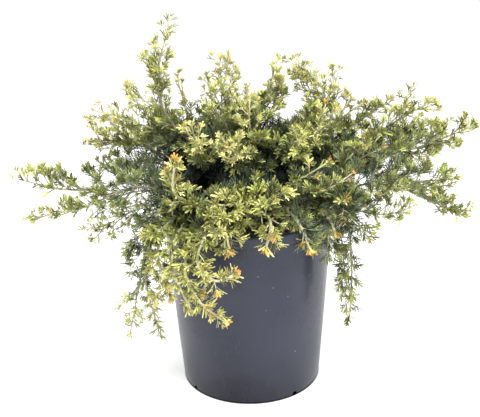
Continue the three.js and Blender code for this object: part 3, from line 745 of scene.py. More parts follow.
@dataclass(frozen=True)
class StemFinish:
    """Green stems: grey-brown where old, cream-green with short silky hairs where young."""

    name: str = "young stem"

    def make(self) -> bpy.types.Material:
        """Builds the material."""
        finish = Finish(self.name, Roughness=0.6, Sheen_Weight=0.4, Sheen_Roughness=0.4)
        nodes = finish.nodes
        youth, _, _, _ = finish.growth()
        cloud = finish.uneven(250.0, 1500.0)
        age = nodes.maths("ADD", youth, nodes.spread(cloud, 0.3, 0.7, (-0.15, 0.15)))
        stops = [
            (0.0, (0.105, 0.086, 0.064)),
            (0.35, (0.220, 0.195, 0.120)),
            (0.7, (0.450, 0.440, 0.230)),
            (1.0, (0.680, 0.640, 0.430)),
        ]
        finish.feed(Base_Color=nodes.ramp(age, stops))
        finish.bump(cloud, 0.5, 0.2)
        return finish.material


@dataclass(frozen=True)
class BarkFinish:
    """Bark: brown and fissured along the wood."""

    name: str = "grevillea bark"

    def make(self) -> bpy.types.Material:
        """Builds the material."""
        finish = Finish(self.name, Roughness=0.85)
        cloud = finish.uneven(180.0, 1100.0)
        stops = [(0.3, (0.045, 0.032, 0.022)), (0.55, (0.115, 0.085, 0.058)), (0.8, (0.230, 0.190, 0.140))]
        finish.feed(Base_Color=finish.nodes.ramp(cloud, stops))
        finish.bump(cloud, 0.9, 0.6)
        return finish.material


@dataclass(frozen=True)
class MixFinish:
    """Potting mix: dark brown crumbs with paler chips of bark."""

    name: str = "potting mix"

    def make(self) -> bpy.types.Material:
        """Builds the material."""
        finish = Finish(self.name, Roughness=0.95)
        nodes = finish.nodes
        youth, _, shade, _ = finish.growth()
        cloud = finish.uneven(140.0, 900.0)
        dark = nodes.ramp(cloud, [(0.3, (0.008, 0.006, 0.005)), (0.7, (0.030, 0.021, 0.016))])
        chip = nodes.ramp(shade, [(0.0, (0.028, 0.017, 0.012)), (1.0, (0.110, 0.072, 0.046))])
        finish.feed(Base_Color=nodes.blend("MIX", youth, dark, chip))
        finish.bump(cloud, 0.9, 0.8)
        return finish.material


@dataclass(frozen=True)
class PotFinish:
    """Black blue-grey moulded plastic: a soft gloss, faint rubbing marks, a few specks, and painted dark
    reflection towards the bottom and in an oval on the front foot.
    """

    name: str = "nursery pot plastic"
    colour: tuple[float, float, float] = (0.021, 0.024, 0.043)
    dark_reflection_colour: tuple[float, float, float] = (0.001, 0.001, 0.009)
    scuffed: tuple[float, float, float] = (0.046, 0.054, 0.072)
    speck: tuple[float, float, float] = (0.28, 0.28, 0.28)
    specular: float = 0.31

    def make(self) -> bpy.types.Material:
        """Builds the material."""
        finish = Finish(self.name, Specular_IOR_Level=self.specular)
        nodes = finish.nodes
        cloud = finish.uneven(14.0, 1500.0)
        scratch_place = nodes.add("Mapping", {"Vector": finish.place(), "Scale": (1.0, 1.0, 0.16)}).outputs[0]
        grain = {"Vector": scratch_place, "Scale": 340.0, "Detail": 4.0}
        scratches = nodes.add("TexNoise", grain).outputs["Fac"]
        worn = nodes.spread(scratches, 0.60, 0.78)
        cell = nodes.add("TexVoronoi", {"Vector": finish.place(), "Scale": 120.0}).outputs
        near = nodes.spread(cell["Distance"], 0.04, 0.09, (1.0, 0.0))
        rare = nodes.maths("GREATER_THAN", nodes.add("SeparateColor", {0: cell["Color"]}).outputs[0], 0.9)
        speck = nodes.maths("MULTIPLY", near, rare)
        # Painted reflection: the plastic grows darker towards the bottom.
        base = nodes.spread(nodes.apart(finish.place(), "Z"), 0.0, 0.075)
        base = nodes.blend("MIX", base, self.dark_reflection_colour, self.colour)
        # Painted reflection: a dark oval on the front of the foot.
        dark_reflection_mapping = {"Vector": finish.place(), "Location": (0.3, 0.0, 0.0), "Scale": (24.0, 0.0, 26.0)}
        dark_reflection_mask = nodes.spread(nodes.length(nodes.add("Mapping", dark_reflection_mapping).outputs[0]), 0.9, 1.05, (0.55, 0.0))
        front = nodes.maths("LESS_THAN", nodes.apart(finish.place(), "Y"), 0.0)
        base = nodes.blend("MIX", nodes.maths("MULTIPLY", dark_reflection_mask, front), base, self.dark_reflection_colour)
        body = nodes.blend("MIX", nodes.spread(cloud, 0.35, 0.65, (0.0, 0.3)), base, self.scuffed)
        body = nodes.blend("MIX", nodes.maths("MULTIPLY", worn, 0.35), body, self.scuffed)
        gloss = nodes.spread(cloud, 0.3, 0.7, (0.24, 0.34))
        gloss = nodes.maths("ADD", gloss, nodes.maths("MULTIPLY", worn, 0.12))
        finish.feed(Base_Color=nodes.blend("MIX", speck, body, self.speck), Roughness=gloss)
        finish.bump(nodes.maths("ADD", nodes.maths("MULTIPLY", scratches, 0.3), cloud), 0.03, 0.4)
        return finish.material


@dataclass(frozen=True)
class FloorFinish:
    """A plain white studio floor, lit from below so that shadows stay faint, with a painted shadow where the
    pot stands: near black and without glow.
    """

    name: str = "studio floor"
    colour: tuple[float, float, float] = (0.62, 0.62, 0.62)
    glow: float = 0.5
    shadow_radius: float = 0.083
    soft_edge: float = 0.001

    def make(self) -> bpy.types.Material:
        """Builds the material."""
        finish = Finish(self.name, Roughness=0.9, Specular_IOR_Level=0.1, Emission_Strength=self.glow)
        nodes = finish.nodes
        level = {0: finish.place(), 1: (1.0, 1.0, 0.0)}
        out = nodes.length(nodes.add("VectorMath", level, operation="MULTIPLY").outputs[0])
        free = nodes.spread(out, self.shadow_radius - self.soft_edge, self.shadow_radius + self.soft_edge)
        # Painted shadow: where the pot stands the floor is near black and does not glow.
        finish.feed(
            Base_Color=nodes.blend("MIX", free, (0.004, 0.004, 0.004), self.colour),
            Emission_Color=nodes.blend("MIX", free, (0.0, 0.0, 0.0), (1.0, 1.0, 1.0)),
        )
        return finish.material


class LeafKind(Enum):
    """The leaf shapes of the plant, by age."""

    NEEDLES = "old leaf, cut to the rib in narrow lobes"
    FORKED = "old leaf whose lobes fork again"
    COMB = "half-grown leaf with blunt narrow lobes"
    TRIDENT = "young leaf with three blunt lobes"
    TOOTHED = "young leaf with five blunt lobes"


@dataclass(frozen=True)
class Lobe:
    """One lobe of a leaf of unit length.

    Half widths are at the lobe's root and at even steps along it, before its blunt end. Headings, lift and
    bend are in degrees: the turn from the leaf's axis, the angle above its plane, and how far it curls down.
    """

    root: tuple[float, float, float]
    heading: float
    length: float
    widths: tuple[float, ...]
    blunt: float
    lift: float = 0.0
    bend: float = 0.0
    folded: bool = False
    from_along: float = 0.0


@dataclass(frozen=True)
class LeafPlan:
    """A lobed leaf: its rib, and pairs of lobes by start, lean, length and drop. Slips are random turns."""

    rib_widths: tuple[float, ...]
    rib_blunt: float
    rib_bend: float
    folded: bool
    pairs: tuple[tuple[float, float, float, float], ...]
    aside: float
    start_slip: float
    lean_slip: float
    lift: float
    lift_slip: float
    widths: tuple[float, ...]
    blunt: float
    bend: float


LEAF_PLANS: dict[LeafKind, LeafPlan] = {
    LeafKind.COMB: LeafPlan(
        (0.026, 0.042), 0.03, 22.0, False,
        ((0.24, 38, 0.46, 0), (0.44, 34, 0.42, -0.03), (0.62, 28, 0.34, -0.06)),
        0.0, 0.04, 7, 8, 16, (0.034,), 0.032, 0.0,
    ),
    LeafKind.TRIDENT: LeafPlan(
        (0.030, 0.065, 0.078), 0.06, 20.0, True, ((0.44, 30, 0.44, 0),),
        0.02, 0.04, 6, 10, 8, (0.04, 0.07), 0.055, 16.0,
    ),
    LeafKind.TOOTHED: LeafPlan(
        (0.030, 0.06, 0.07), 0.055, 24.0, True, ((0.34, 44, 0.36, -0.02), (0.56, 32, 0.34, -0.02)),
        0.02, 0.03, 7, 10, 10, (0.036, 0.058), 0.045, 16.0,
    ),
}


class LeafPatterns:
    """Leaf shapes of unit length, grown by extruding the edge of a lobe from station to station."""

    VARIANTS = 4
    THIN = 0.028
    NEEDLE_PAIRS = 3
    NEEDLE_FIRST = 0.14
    NEEDLE_APART = 0.19
    NEEDLE_LEAN = 33
    NEEDLE_LENGTH = 0.54
    FORKED_PAIRS = 2
    FORK_AT = 0.42
    FORK_LEAN = 26
    HAIRS = 6
    RIB_SLIP = 4
    VALLEY = -0.35

    def __init__(self, seed: int) -> None:
        """Makes every shape in several variants, and the tuft of hairs."""
        self.chance = random.Random(seed)
        self.shapes = {kind: [self._shape(kind, i) for i in range(self.VARIANTS)] for kind in LeafKind}
        self.hairs = [self._hairs(f"hairs_{i}") for i in range(self.VARIANTS)]

    def pick(self, kind: LeafKind, chance: random.Random) -> bpy.types.Mesh:
        """One variant of a shape."""
        return chance.choice(self.shapes[kind])

    def _shape(self, kind: LeafKind, variant: int) -> bpy.types.Mesh:
        """Makes one variant of a shape: turns every face up and maps it by the place across and along."""
        sheet = Sheet()
        if kind in LEAF_PLANS:
            self._lobed(sheet, LEAF_PLANS[kind])
        else:
            self._needles(sheet, kind is LeafKind.FORKED)
        bm = sheet.bm
        bm.normal_update()
        bmesh.ops.reverse_faces(bm, faces=[face for face in bm.faces if face.normal.z < 0])
        for face in bm.faces:
            face.smooth = True
            for loop in face.loops:
                _, _, across, along = loop.vert[sheet.growth]
                loop[sheet.uv].uv = (across, along)
        return kept_mesh(bm, f"{kind.name.lower()}_{variant}")

    def _lobe(self, sheet: Sheet, lobe: Lobe) -> None:
        """Grows one lobe.

        Args:
            sheet: The leaf in the making.
            lobe: Its measures.
        """
        bm, widths = sheet.bm, lobe.widths
        offsets = (-1.0, 0.0, 1.0) if lobe.folded else (-1.0, 1.0)
        turn = Matrix.Rotation(math.radians(-lobe.heading), 4, "Z")
        place = Matrix.Translation(lobe.root) @ turn @ Matrix.Rotation(math.radians(lobe.lift), 4, "X")
        own = self.chance.random()
        verts = []
        for offset in offsets:
            valley = self.VALLEY if offset == 0.0 else 0.0
            vert = bm.verts.new(place @ Vector((offset * widths[0], 0.0, valley * widths[0])))
            vert[sheet.growth] = (own, 0.0, (offset + 1) / 2, lobe.from_along)
            verts.append(vert)
        edges = [bm.edges.new(pair) for pair in zip(verts, verts[1:])]
        steps = len(widths)
        curl = Matrix.Rotation(math.radians(-lobe.bend / steps), 4, "X")
        for i in range(1, steps + 1):
            width = widths[i] if i < steps else lobe.blunt
            onward = curl @ Matrix.Translation((0, lobe.length / steps, 0))
            verts, edges = extrude(bm, edges)
            grow = Matrix.Diagonal((width / widths[i - 1], 1.0, width / widths[i - 1], 1.0))
            bmesh.ops.transform(bm, matrix=place @ onward @ grow @ place.inverted(), verts=verts)
            place = place @ onward
            for vert in verts:
                vert[sheet.growth] = (own, 0.0, vert[sheet.growth][2], mix(lobe.from_along, 1.0, i / steps))
        if lobe.folded:
            middle = [vert for vert in verts if abs(vert[sheet.growth][2] - 0.5) < 0.1]
            ahead = (place.to_3x3() @ Vector((0, 1, 0))).normalized()
            bmesh.ops.translate(bm, vec=ahead * lobe.blunt, verts=middle)

    def _slip(self, most: float) -> float:
        """A small random turn or shift."""
        return self.chance.uniform(-most, most)

    def _needles(self, sheet: Sheet, forks: bool) -> None:
        """An old leaf: a thin rib and pairs of linear lobes that run nearly side by side, or fork."""
        thin = self.THIN
        rib = Lobe((0, 0, 0), self._slip(self.RIB_SLIP), 1.0, (thin * 0.8, thin), thin * 0.4, bend=16.0)
        self._lobe(sheet, rib)
        for pair in range(self.NEEDLE_PAIRS):
            start = self.NEEDLE_FIRST + self.NEEDLE_APART * pair
            for side in (-1, 1):
                heading = side * (self.NEEDLE_LEAN - 3 * pair) + self._slip(6)
                length = self.NEEDLE_LENGTH - 0.05 * pair
                lift = self.chance.uniform(-16, 26)
                root = (0.0, start + self._slip(0.04), -0.03 * pair)
                lobe = Lobe(root, heading, length, (thin * 0.9,), thin * 0.6, lift, from_along=start)
                self._lobe(sheet, lobe)
                if forks and pair < self.FORKED_PAIRS:
                    turn = math.radians(heading)
                    reach = length * self.FORK_AT
                    fork = (math.sin(turn) * reach, root[1] + math.cos(turn) * reach, root[2])
                    out = heading + side * (self.FORK_LEAN + self._slip(8))
                    lift += self._slip(14)
                    lobe = Lobe(fork, out, length * 0.5, (thin * 0.8,), thin * 0.5, lift, from_along=start)
                    self._lobe(sheet, lobe)

    def _lobed(self, sheet: Sheet, plan: LeafPlan) -> None:
        """A younger leaf: a rib, or a wedge folded along it, with pairs of blunt lobes."""
        heading = self._slip(self.RIB_SLIP)
        rib = Lobe((0, 0, 0), heading, 1.0, plan.rib_widths, plan.rib_blunt, 0.0, plan.rib_bend, plan.folded)
        self._lobe(sheet, rib)
        for start, lean, length, drop in plan.pairs:
            for side in (-1, 1):
                root = (side * plan.aside, start + self._slip(plan.start_slip), drop)
                heading = side * (lean + self._slip(plan.lean_slip))
                lift = plan.lift + self._slip(plan.lift_slip)
                lobe = Lobe(root, heading, length, plan.widths, plan.blunt, lift, plan.bend, False, start)
                self._lobe(sheet, lobe)

    def _hairs(self, name: str) -> bpy.types.Mesh:
        """A ring of short fine hairs round a stem of unit radius, which runs up."""
        sheet = Sheet()
        bm = sheet.bm
        turn = self.chance.uniform(0, math.tau)
        for _ in range(self.HAIRS):
            turn += GOLDEN_ANGLE
            out = Vector((math.cos(turn), math.sin(turn), 0))
            beside = Vector((-out.y, out.x, 0)) * 0.07
            root = out * 0.9 + UP * self.chance.uniform(-0.6, 0.6)
            way = (out + UP * self.chance.uniform(0.2, 0.9)).normalized()
            tip = root + way * self.chance.uniform(0.9, 1.5)
            bm.faces.new([bm.verts.new(root - beside), bm.verts.new(root + beside), bm.verts.new(tip)])
        for face in bm.faces:
            face.material_index = 1
        return kept_mesh(bm, name)


@dataclass(frozen=True)
class Keepout:
    """Where no foliage may be: the pot, its mix, the floor, outside the CAD box, and dark hollows inside."""

    low: Vector
    high: Vector
    rim_height: float = 212.5
    rim_outside: float = 101.5
    rim_inside: float = 95.5
    mix_top: float = 193.0
    floor: float = 2.0
    hollows: tuple[tuple[tuple[float, float, float], float], ...] = (
        ((-46, -64, 251), 20.0),
        ((-29, -64, 241), 15.0),
        ((-48, -34, 242), 15.0),
        ((38, -65, 245), 19.0),
        ((37, -68, 228), 15.0),
        ((40, -34, 234), 15.0),
    )

    def blocks(self, point: Vector) -> bool:
        """Whether a point lies where no foliage may be."""
        if any(not low <= value <= high for value, low, high in zip(point, self.low, self.high)):
            return True
        if any((point - Vector(centre)).length < radius for centre, radius in self.hollows):
            return True
        if point.z > self.rim_height:
            return False
        out = math.hypot(point.x, point.y)
        if out > self.rim_outside:
            return point.z < self.floor
        return out > self.rim_inside or point.z < self.mix_top


@dataclass(frozen=True)
class Manner:
    """The measures of a habit; a pair gives the value at the stem's start and at its tip."""

    twig_step: tuple[float, float]
    twig_length: tuple[float, float]
    youth: tuple[float, float]
    turning: float
    leaf_step: tuple[float, float]
    leaf_size: tuple[float, float]
    leaf_lean: tuple[float, float]
    rise: float
    upper_side: float
    radius: tuple[float, float]
    stem_youth: tuple[float, float]
    rosette: int


MANNERS: dict[Habit, Manner] = {
    Habit.ARCHING: Manner(
        (7.0, 7.5), (34, 12), (0.0, 0.74), 0.5, (9.0, 4.4), (23, 8.4), (22, 48), 0.5, 0.65,
        (1.5, 0.7), (0.1, 0.7), 4,
    ),
    Habit.UPRIGHT: Manner(
        (7.0, 7.5), (31, 11), (0.30, 0.84), 0.4, (8.0, 4.2), (22, 8.6), (20, 44), 0.6, 0.0,
        (1.5, 0.7), (0.1, 0.8), 5,
    ),
    Habit.CASCADE: Manner(
        (5.5, 6.5), (27, 13), (0.42, 1.00), 0.2, (4.8, 3.6), (18, 14), (28, 55), 0.15, 0.25,
        (1.7, 1.2), (0.6, 1.0), 6,
    ),
    Habit.HANGING: Manner(
        (7.0, 8.0), (31, 8), (0.00, 0.74), 0.5, (8.6, 4.2), (22, 8.2), (26, 52), -0.1, 0.0,
        (1.4, 0.6), (0.1, 0.7), 4,
    ),
    Habit.TRAILING: Manner(
        (8.0, 9.0), (36, 14), (0.30, 0.68), 0.3, (6.5, 4.8), (11, 7.8), (30, 55), -0.2, 0.0,
        (1.0, 0.6), (0.4, 0.6), 4,
    ),
}
INNER_MANNER = Manner(
    (7.0, 7.0), (42, 32), (0.0, 0.12), 0.5, (7.4, 7.4), (24, 20), (24, 50), 0.5, 0.55,
    (1.2, 1.0), (0.0, 0.2), 3,
)


def leant(heading: Vector, way: Vector, degrees: float) -> Vector:
    """A direction that leans away from a heading."""
    angle = math.radians(degrees)
    return (heading * math.cos(angle) + way * math.sin(angle)).normalized()


@dataclass(frozen=True)
class Shoot:
    """A twig about to grow. Youth is how young its leaves are, and wood how young its bark."""

    start: Vector
    forward: Vector
    length: float
    radius: float
    youth: float
    wood: float
    bud: float = 0.0


class Foliage:
    """Leafy shoots in the making: twigs with their leaves, and the tuft at each tip."""

    TWIG_SIDES = 4
    TWIG_STATION = 5.0
    TWIG_END = 0.4
    TIP_YOUTH = 0.16
    WANDER = 0.11
    SHADES = (0.0, 1.0)
    LOBE_SPREAD = 0.7
    FORKS_FROM = 17.0
    FORKS = (0.3, 0.6)
    FORK_LEAN = (34, 48)
    FORK_REACH = (0.52, 0.36)
    ROSETTE_LEAN = (44, 8)
    OLD_UNTIL = 0.36
    HALF_GROWN_UNTIL = 0.52
    # Painted shade in the plant's middle: how much older and darker leaves are made there, and where it
    # reaches.
    PAINTED_SHADE_AGE = 0.35
    PAINTED_SHADE_DARK = 0.8
    PAINTED_SHADE_WITHIN = (102.0, 34.0)
    PAINTED_SHADE_BELOW = (290.0, 42.0)

    def __init__(self, name: str, manner: Manner, patterns: LeafPatterns, keepout: Keepout) -> None:
        """Takes the measures and the shapes to grow with."""
        self.name = name
        self.manner = manner
        self.patterns = patterns
        self.keepout = keepout
        self.chance = random.Random(f"stem {name}")
        self.sheet = Sheet()
        self.part = Sheet()
        self.leaves = 0

    def _gather(self) -> None:
        """Puts the part at work with the rest of the mesh and starts the next."""
        self.sheet.take(self.part)
        self.part = Sheet()

    def _finish(self, name: str, leaf: bpy.types.Material, bark: bpy.types.Material) -> bpy.types.Object:
        """Makes the foliage an object with the leaf and bark materials, attached to the root body."""
        self._gather()
        made = self.sheet.piece(name, [leaf, bark])
        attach(made, "root")
        LOG.info("%s: %d leaves, %d faces", made.name, self.leaves, len(made.data.polygons))
        return made

    def _side_ways(self, heading: Vector, turn: float) -> Vector:
        """The way a side shoot leaves, square to its parent."""
        level = heading.cross(UP)
        level = level.normalized() if level.length > 0.05 else Vector((1, 0, 0))
        over = level.cross(heading).normalized()
        way = level * math.cos(turn) + over * math.sin(turn)
        if way.dot(over) < 0 and self.chance.random() < self.manner.upper_side:
            way = way - over * (2 * way.dot(over))
        return way

    def _path(self, start: Vector, forward: Vector, length: float) -> tuple[list[Vector], list[Vector]]:
        """A twig's points and its direction at each: it wanders, bends to the light, and stops at the pot."""
        steps = max(2, round(length / self.TWIG_STATION))
        path, ways, point = [start], [forward], start
        for _ in range(steps):
            wander = Vector([self.chance.uniform(-self.WANDER, self.WANDER) for _ in range(3)])
            forward = (forward + UP * self.manner.rise * 0.2 + wander).normalized()
            point = point + forward * (length / steps)
            if self.keepout.blocks(point):
                break
            path.append(point)
            ways.append(forward)
        return path, ways

    def _twig(self, shoot: Shoot) -> None:
        """One twig with its leaves, its own side twigs and the rosette at its tip."""
        path, ways = self._path(shoot.start, shoot.forward, shoot.length)
        last = len(path) - 1
        if last < 1:
            return
        stations = []
        for i, centre in enumerate(path):
            part = i / last
            tint = Tint(clamp(shoot.wood + 0.25 * part))
            stations.append((centre, mix(shoot.radius, self.TWIG_END, part), tint))
        self.part.tube(stations, self.TWIG_SIDES, 1)
        tip_youth = clamp(shoot.youth + self.TIP_YOUTH)
        self._leaves_on_path(path, ways, shoot.youth, tip_youth)
        self._rosette(path[-1], ways[-1], tip_youth, shoot.bud, 0.9)
        if shoot.length < self.FORKS_FROM:
            return
        side = self.chance.choice((-1.0, 1.0))
        for share in self.FORKS:
            index = min(int(share * last) + 1, last)
            side = -side
            turn = self.chance.uniform(-0.5, 0.5) + (math.pi if side < 0 else 0.0)
            way = self._side_ways(ways[index], turn)
            onward = leant(ways[index], way, self.chance.uniform(*self.FORK_LEAN))
            reach = shoot.length * mix(*self.FORK_REACH, share) * self.chance.uniform(0.85, 1.15)
            youth = clamp(shoot.youth + 0.12 * share)
            self._twig(Shoot(path[index], onward, reach, shoot.radius * 0.7, youth, shoot.wood))

    def _leaves_on_path(self, path: list[Vector], ways: list[Vector], first: float, last: float) -> None:
        """Leaves along a twig."""
        length = (path[-1] - path[0]).length
        count = max(1, int(length / mix(*self.manner.leaf_step, (first + last) / 2)))
        turn = self.chance.uniform(0, math.tau)
        for i in range(count):
            part = (i + 0.6) / count
            place = part * (len(path) - 1)
            index = min(int(place), len(path) - 2)
            point = path[index].lerp(path[index + 1], place - index)
            lean = self.chance.uniform(*self.manner.leaf_lean)
            self._leaf(point, ways[index + 1], turn, lean, mix(first, last, part))
            turn += GOLDEN_ANGLE

    def _rosette(self, point: Vector, heading: Vector, youth: float, bud: float, size: float) -> None:
        """The tuft of young leaves at a tip, the innermost in bud."""
        turn = self.chance.uniform(0, math.tau)
        count = self.manner.rosette
        for i in range(count):
            inner = i / count
            lean = mix(*self.ROSETTE_LEAN, inner) + self.chance.uniform(-6, 6)
            tinged = bud * clamp(inner * 2.0 - 0.2)
            start = point - heading * mix(2.5, 0.0, inner)
            young = clamp(youth + 0.05 + 0.4 * bud)
            self._leaf(start, heading, turn, lean, young, tinged, size * mix(0.95, 0.65, inner))
            turn += GOLDEN_ANGLE

    def _painted_shade_at(self, point: Vector) -> float:
        """How deep a point lies in the plant's middle, where leaves are made older and painted darker as
        shade.
        """
        out = (self.PAINTED_SHADE_WITHIN[0] - math.hypot(point.x, point.y)) / self.PAINTED_SHADE_WITHIN[1]
        return clamp(out) * clamp((self.PAINTED_SHADE_BELOW[0] - point.z) / self.PAINTED_SHADE_BELOW[1])

    def _leaf(
        self,
        point: Vector,
        heading: Vector,
        turn: float,
        lean: float,
        youth: float,
        bud: float = 0.0,
        size: float = 1.0,
    ) -> None:
        """One leaf, unless it would stand where none may be."""
        way = self._side_ways(heading, turn)
        forward = leant(heading, way, lean)
        # Painted shade: leaves deep in the plant's middle are made older.
        shade_depth = self._painted_shade_at(point)
        youth = clamp(youth + self.chance.gauss(0, 0.06) - self.PAINTED_SHADE_AGE * shade_depth)
        length = mix(*self.manner.leaf_size, youth) * self.chance.uniform(0.8, 1.15) * size
        reach = forward * length
        if self.keepout.blocks(point + reach) or self.keepout.blocks(point + reach * 0.5):
            return
        normal = heading - forward * heading.dot(forward)
        if normal.length < 0.05:
            normal = way - forward * way.dot(forward)
        normal.normalize()
        across = forward.cross(normal)
        basis = Matrix((across, forward, normal)).transposed().to_4x4()
        roll = Matrix.Rotation(self.chance.gauss(0, 0.35), 4, "Y")
        place = Matrix.Translation(point) @ basis @ roll @ Matrix.Scale(length, 4)
        # Painted shade: leaves deep in the plant's middle are darkened.
        light = 1.0 - self.PAINTED_SHADE_DARK * shade_depth
        kind = self._kind(youth)
        shade = self.chance.uniform(*self.SHADES) * light
        tint = Tint(youth, clamp(bud), shade, self.LOBE_SPREAD * light)
        self.part.stamp(self.patterns.pick(kind, self.chance), place, tint)
        self.leaves += 1

    def _kind(self, youth: float) -> LeafKind:
        """A leaf shape for an age."""
        draw = self.chance.random()
        if youth < self.OLD_UNTIL:
            return LeafKind.FORKED if draw < 0.5 else LeafKind.NEEDLES
        if youth < self.HALF_GROWN_UNTIL:
            return LeafKind.COMB if draw < 0.75 else LeafKind.TRIDENT
        return LeafKind.TOOTHED if draw < 0.4 else LeafKind.TRIDENT


class LeafyStem(Foliage):
    """One leafy stem: its green axis, side twigs, and the leaves and buds that they carry."""

    GREEN_FROM = 12.0
    STATION = 7.0
    TIP_INSET = 6.0
    STEM_SIDES = 6
    TWIG_RADII = (0.8, 0.55)
    TWIG_LEAN = (34, 56)
    BUDS_FROM = 0.65
    LEAF_LEAN = (36, 60)
    BARE_END = 9.0
    HAIR_FROM = 0.45
    HAIR_STEP = 2.2

    def __init__(self, name: str, row: StemRow, patterns: LeafPatterns, keepout: Keepout) -> None:
        """Takes the stem's row of the table and the shapes to grow it with."""
        super().__init__(name, MANNERS[row.habit], patterns, keepout)
        self.row = row
        self.curve = stem_curve(row)

    def build(self, leaf: bpy.types.Material, bark: bpy.types.Material) -> bpy.types.Object:
        """Grows the stem.

        Args:
            leaf: The leaves' material.
            bark: The stems' material.

        Returns:
            The finished object, which stands for the stem's CAD node.
        """
        end = self.curve.length - self.TIP_INSET
        self._axis(self.GREEN_FROM, end)
        self._twigs(end)
        self._sprays()
        self._leaves_on_axis(end)
        self._rosette(self.curve.at(end), self.curve.heading(end), self._youth(1.0), self.row.bud, 1.05)
        made = self._finish(f"shoot_{self.name}", leaf, bark)
        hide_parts(f"leafy_{self.name}")
        return made

    def _youth(self, share: float) -> float:
        """How young the foliage is at a share of the stem."""
        low, high = self.manner.youth
        aged = mix(low, high, clamp((share - 0.05) / 0.95) ** (1.0 / (0.4 + self.manner.turning)))
        return clamp(aged + self.row.youth * clamp((share - 0.3) * 4.0))

    def _sprays(self) -> None:
        """The long side twigs of the table."""
        for spray in SPRAYS.get(self.name, ()):
            start = self.curve.at(self.curve.length * spray.share)
            reach = Vector(spray.tip) - start
            forward = (reach.normalized() - UP * self.manner.rise * 0.1).normalized()
            youth = clamp(self._youth(spray.share) + 0.1 + spray.youth)
            wood = mix(*self.manner.stem_youth, spray.share)
            self._twig(Shoot(start, forward, reach.length, self.TWIG_RADII[0], youth, wood, spray.bud))
            self._gather()

    def _axis(self, start: float, end: float) -> None:
        """The stem's own green bar, with short hairs on its younger part."""
        count = max(4, round((end - start) / self.STATION))
        stations = []
        for i in range(count + 1):
            share = i / count
            tint = Tint(mix(*self.manner.stem_youth, share), 0.0, self.chance.random())
            stations.append((self.curve.at(mix(start, end, share)), mix(*self.manner.radius, share), tint))
        self.part.tube(stations, self.STEM_SIDES, 1)
        run = mix(start, end, self.HAIR_FROM)
        while run < end:
            share = (run - start) / (end - start)
            radius = mix(*self.manner.radius, share)
            turn = UP.rotation_difference(self.curve.heading(run)).to_matrix().to_4x4()
            place = Matrix.Translation(self.curve.at(run)) @ turn @ Matrix.Scale(radius, 4)
            self.part.stamp(self.chance.choice(self.patterns.hairs), place, Tint(1.0))
            run += self.HAIR_STEP
        self._gather()

    def _twigs(self, end: float) -> None:
        """Side twigs by the golden angle, or mostly on the upper side."""
        favour = Vector(FAVOUR.get(self.name, (0, 0, 0)))
        run = self.GREEN_FROM + 2.0
        turn = self.chance.uniform(0, math.tau)
        while run < end - self.BARE_END:
            share = run / self.curve.length
            length = mix(*self.manner.twig_length, share**0.8) * self.chance.uniform(0.75, 1.2)
            length *= self.row.fullness
            heading = self.curve.heading(run)
            way = self._side_ways(heading, turn)
            length *= clamp(1.0 + favour.dot(way), 0.3, 1.8)
            forward = leant(heading, way, self.chance.uniform(*self.TWIG_LEAN))
            bud = self.row.bud * 0.8 if share > self.BUDS_FROM and self.chance.random() < 0.5 else 0.0
            wood = mix(*self.manner.stem_youth, share)
            radius = mix(*self.TWIG_RADII, share)
            self._twig(Shoot(self.curve.at(run), forward, length, radius, self._youth(share), wood, bud))
            self._gather()
            turn += GOLDEN_ANGLE + self.chance.uniform(-0.3, 0.3)
            run += mix(*self.manner.twig_step, share) * self.chance.uniform(0.8, 1.2)

    def _leaves_on_axis(self, end: float) -> None:
        """Leaves straight on the stem, between its twigs."""
        run = self.GREEN_FROM
        turn = 1.0
        while run < end:
            share = run / self.curve.length
            youth = self._youth(share)
            if self.row.habit is not Habit.TRAILING or share > 0.6:
                lean = self.chance.uniform(*self.LEAF_LEAN)
                self._leaf(self.curve.at(run), self.curve.heading(run), turn, lean, youth)
            turn += GOLDEN_ANGLE
            run += mix(*self.manner.leaf_step, youth) * self.chance.uniform(1.0, 1.6)


class InnerTwigs(Foliage):
    """The old leafy twigs on the boughs and on the stems' barked feet, which fill the plant's middle."""

    # Darker and less varied than on the stems: painted shade in the plant's middle.
    SHADES = (0.0, 0.7)
    LOBE_SPREAD = 0.5
    FROM_SHARE = 0.22
    FOOT_SPAN = (3.0, 20.0)
    TWIG_LEAN = (35, 70)
    TWIG_RADIUS = 0.8
    GREENER_FROM = 275.0
    GREENER_WITHIN = 35.0

    def __init__(self, patterns: LeafPatterns, keepout: Keepout) -> None:
        """Takes the shapes to grow with."""
        super().__init__("inner", INNER_MANNER, patterns, keepout)

    def build(self, leaf: bpy.types.Material, bark: bpy.types.Material) -> bpy.types.Object:
        """Grows the twigs as one piece beside the woody frame."""
        for name in BOUGHS:
            curve = bough_curve(name)
            self._row(curve, curve.length * self.FROM_SHARE, curve.length)
        for row in STEMS.values():
            self._row(stem_curve(row), *self.FOOT_SPAN)
        return self._finish("inner_twigs", leaf, bark)

    def _row(self, curve: Spline, start: float, end: float) -> None:
        """Twigs along part of a curve."""
        run = start + self.chance.uniform(0.0, 4.0)
        turn = self.chance.uniform(0, math.tau)
        while run < end:
            heading = curve.heading(run)
            way = self._side_ways(heading, turn)
            forward = leant(heading, way, self.chance.uniform(*self.TWIG_LEAN))
            length = self.chance.uniform(self.manner.twig_length[1], self.manner.twig_length[0]) * 0.8
            high = clamp((curve.at(run).z - self.GREENER_FROM) / self.GREENER_WITHIN)
            youth = self.chance.uniform(*self.manner.youth) + 0.45 * high
            self._twig(Shoot(curve.at(run), forward, length, self.TWIG_RADIUS, youth, 0.1 + 0.3 * high))
            self._gather()
            turn += GOLDEN_ANGLE
            run += self.manner.twig_step[0] * self.chance.uniform(0.8, 1.3)


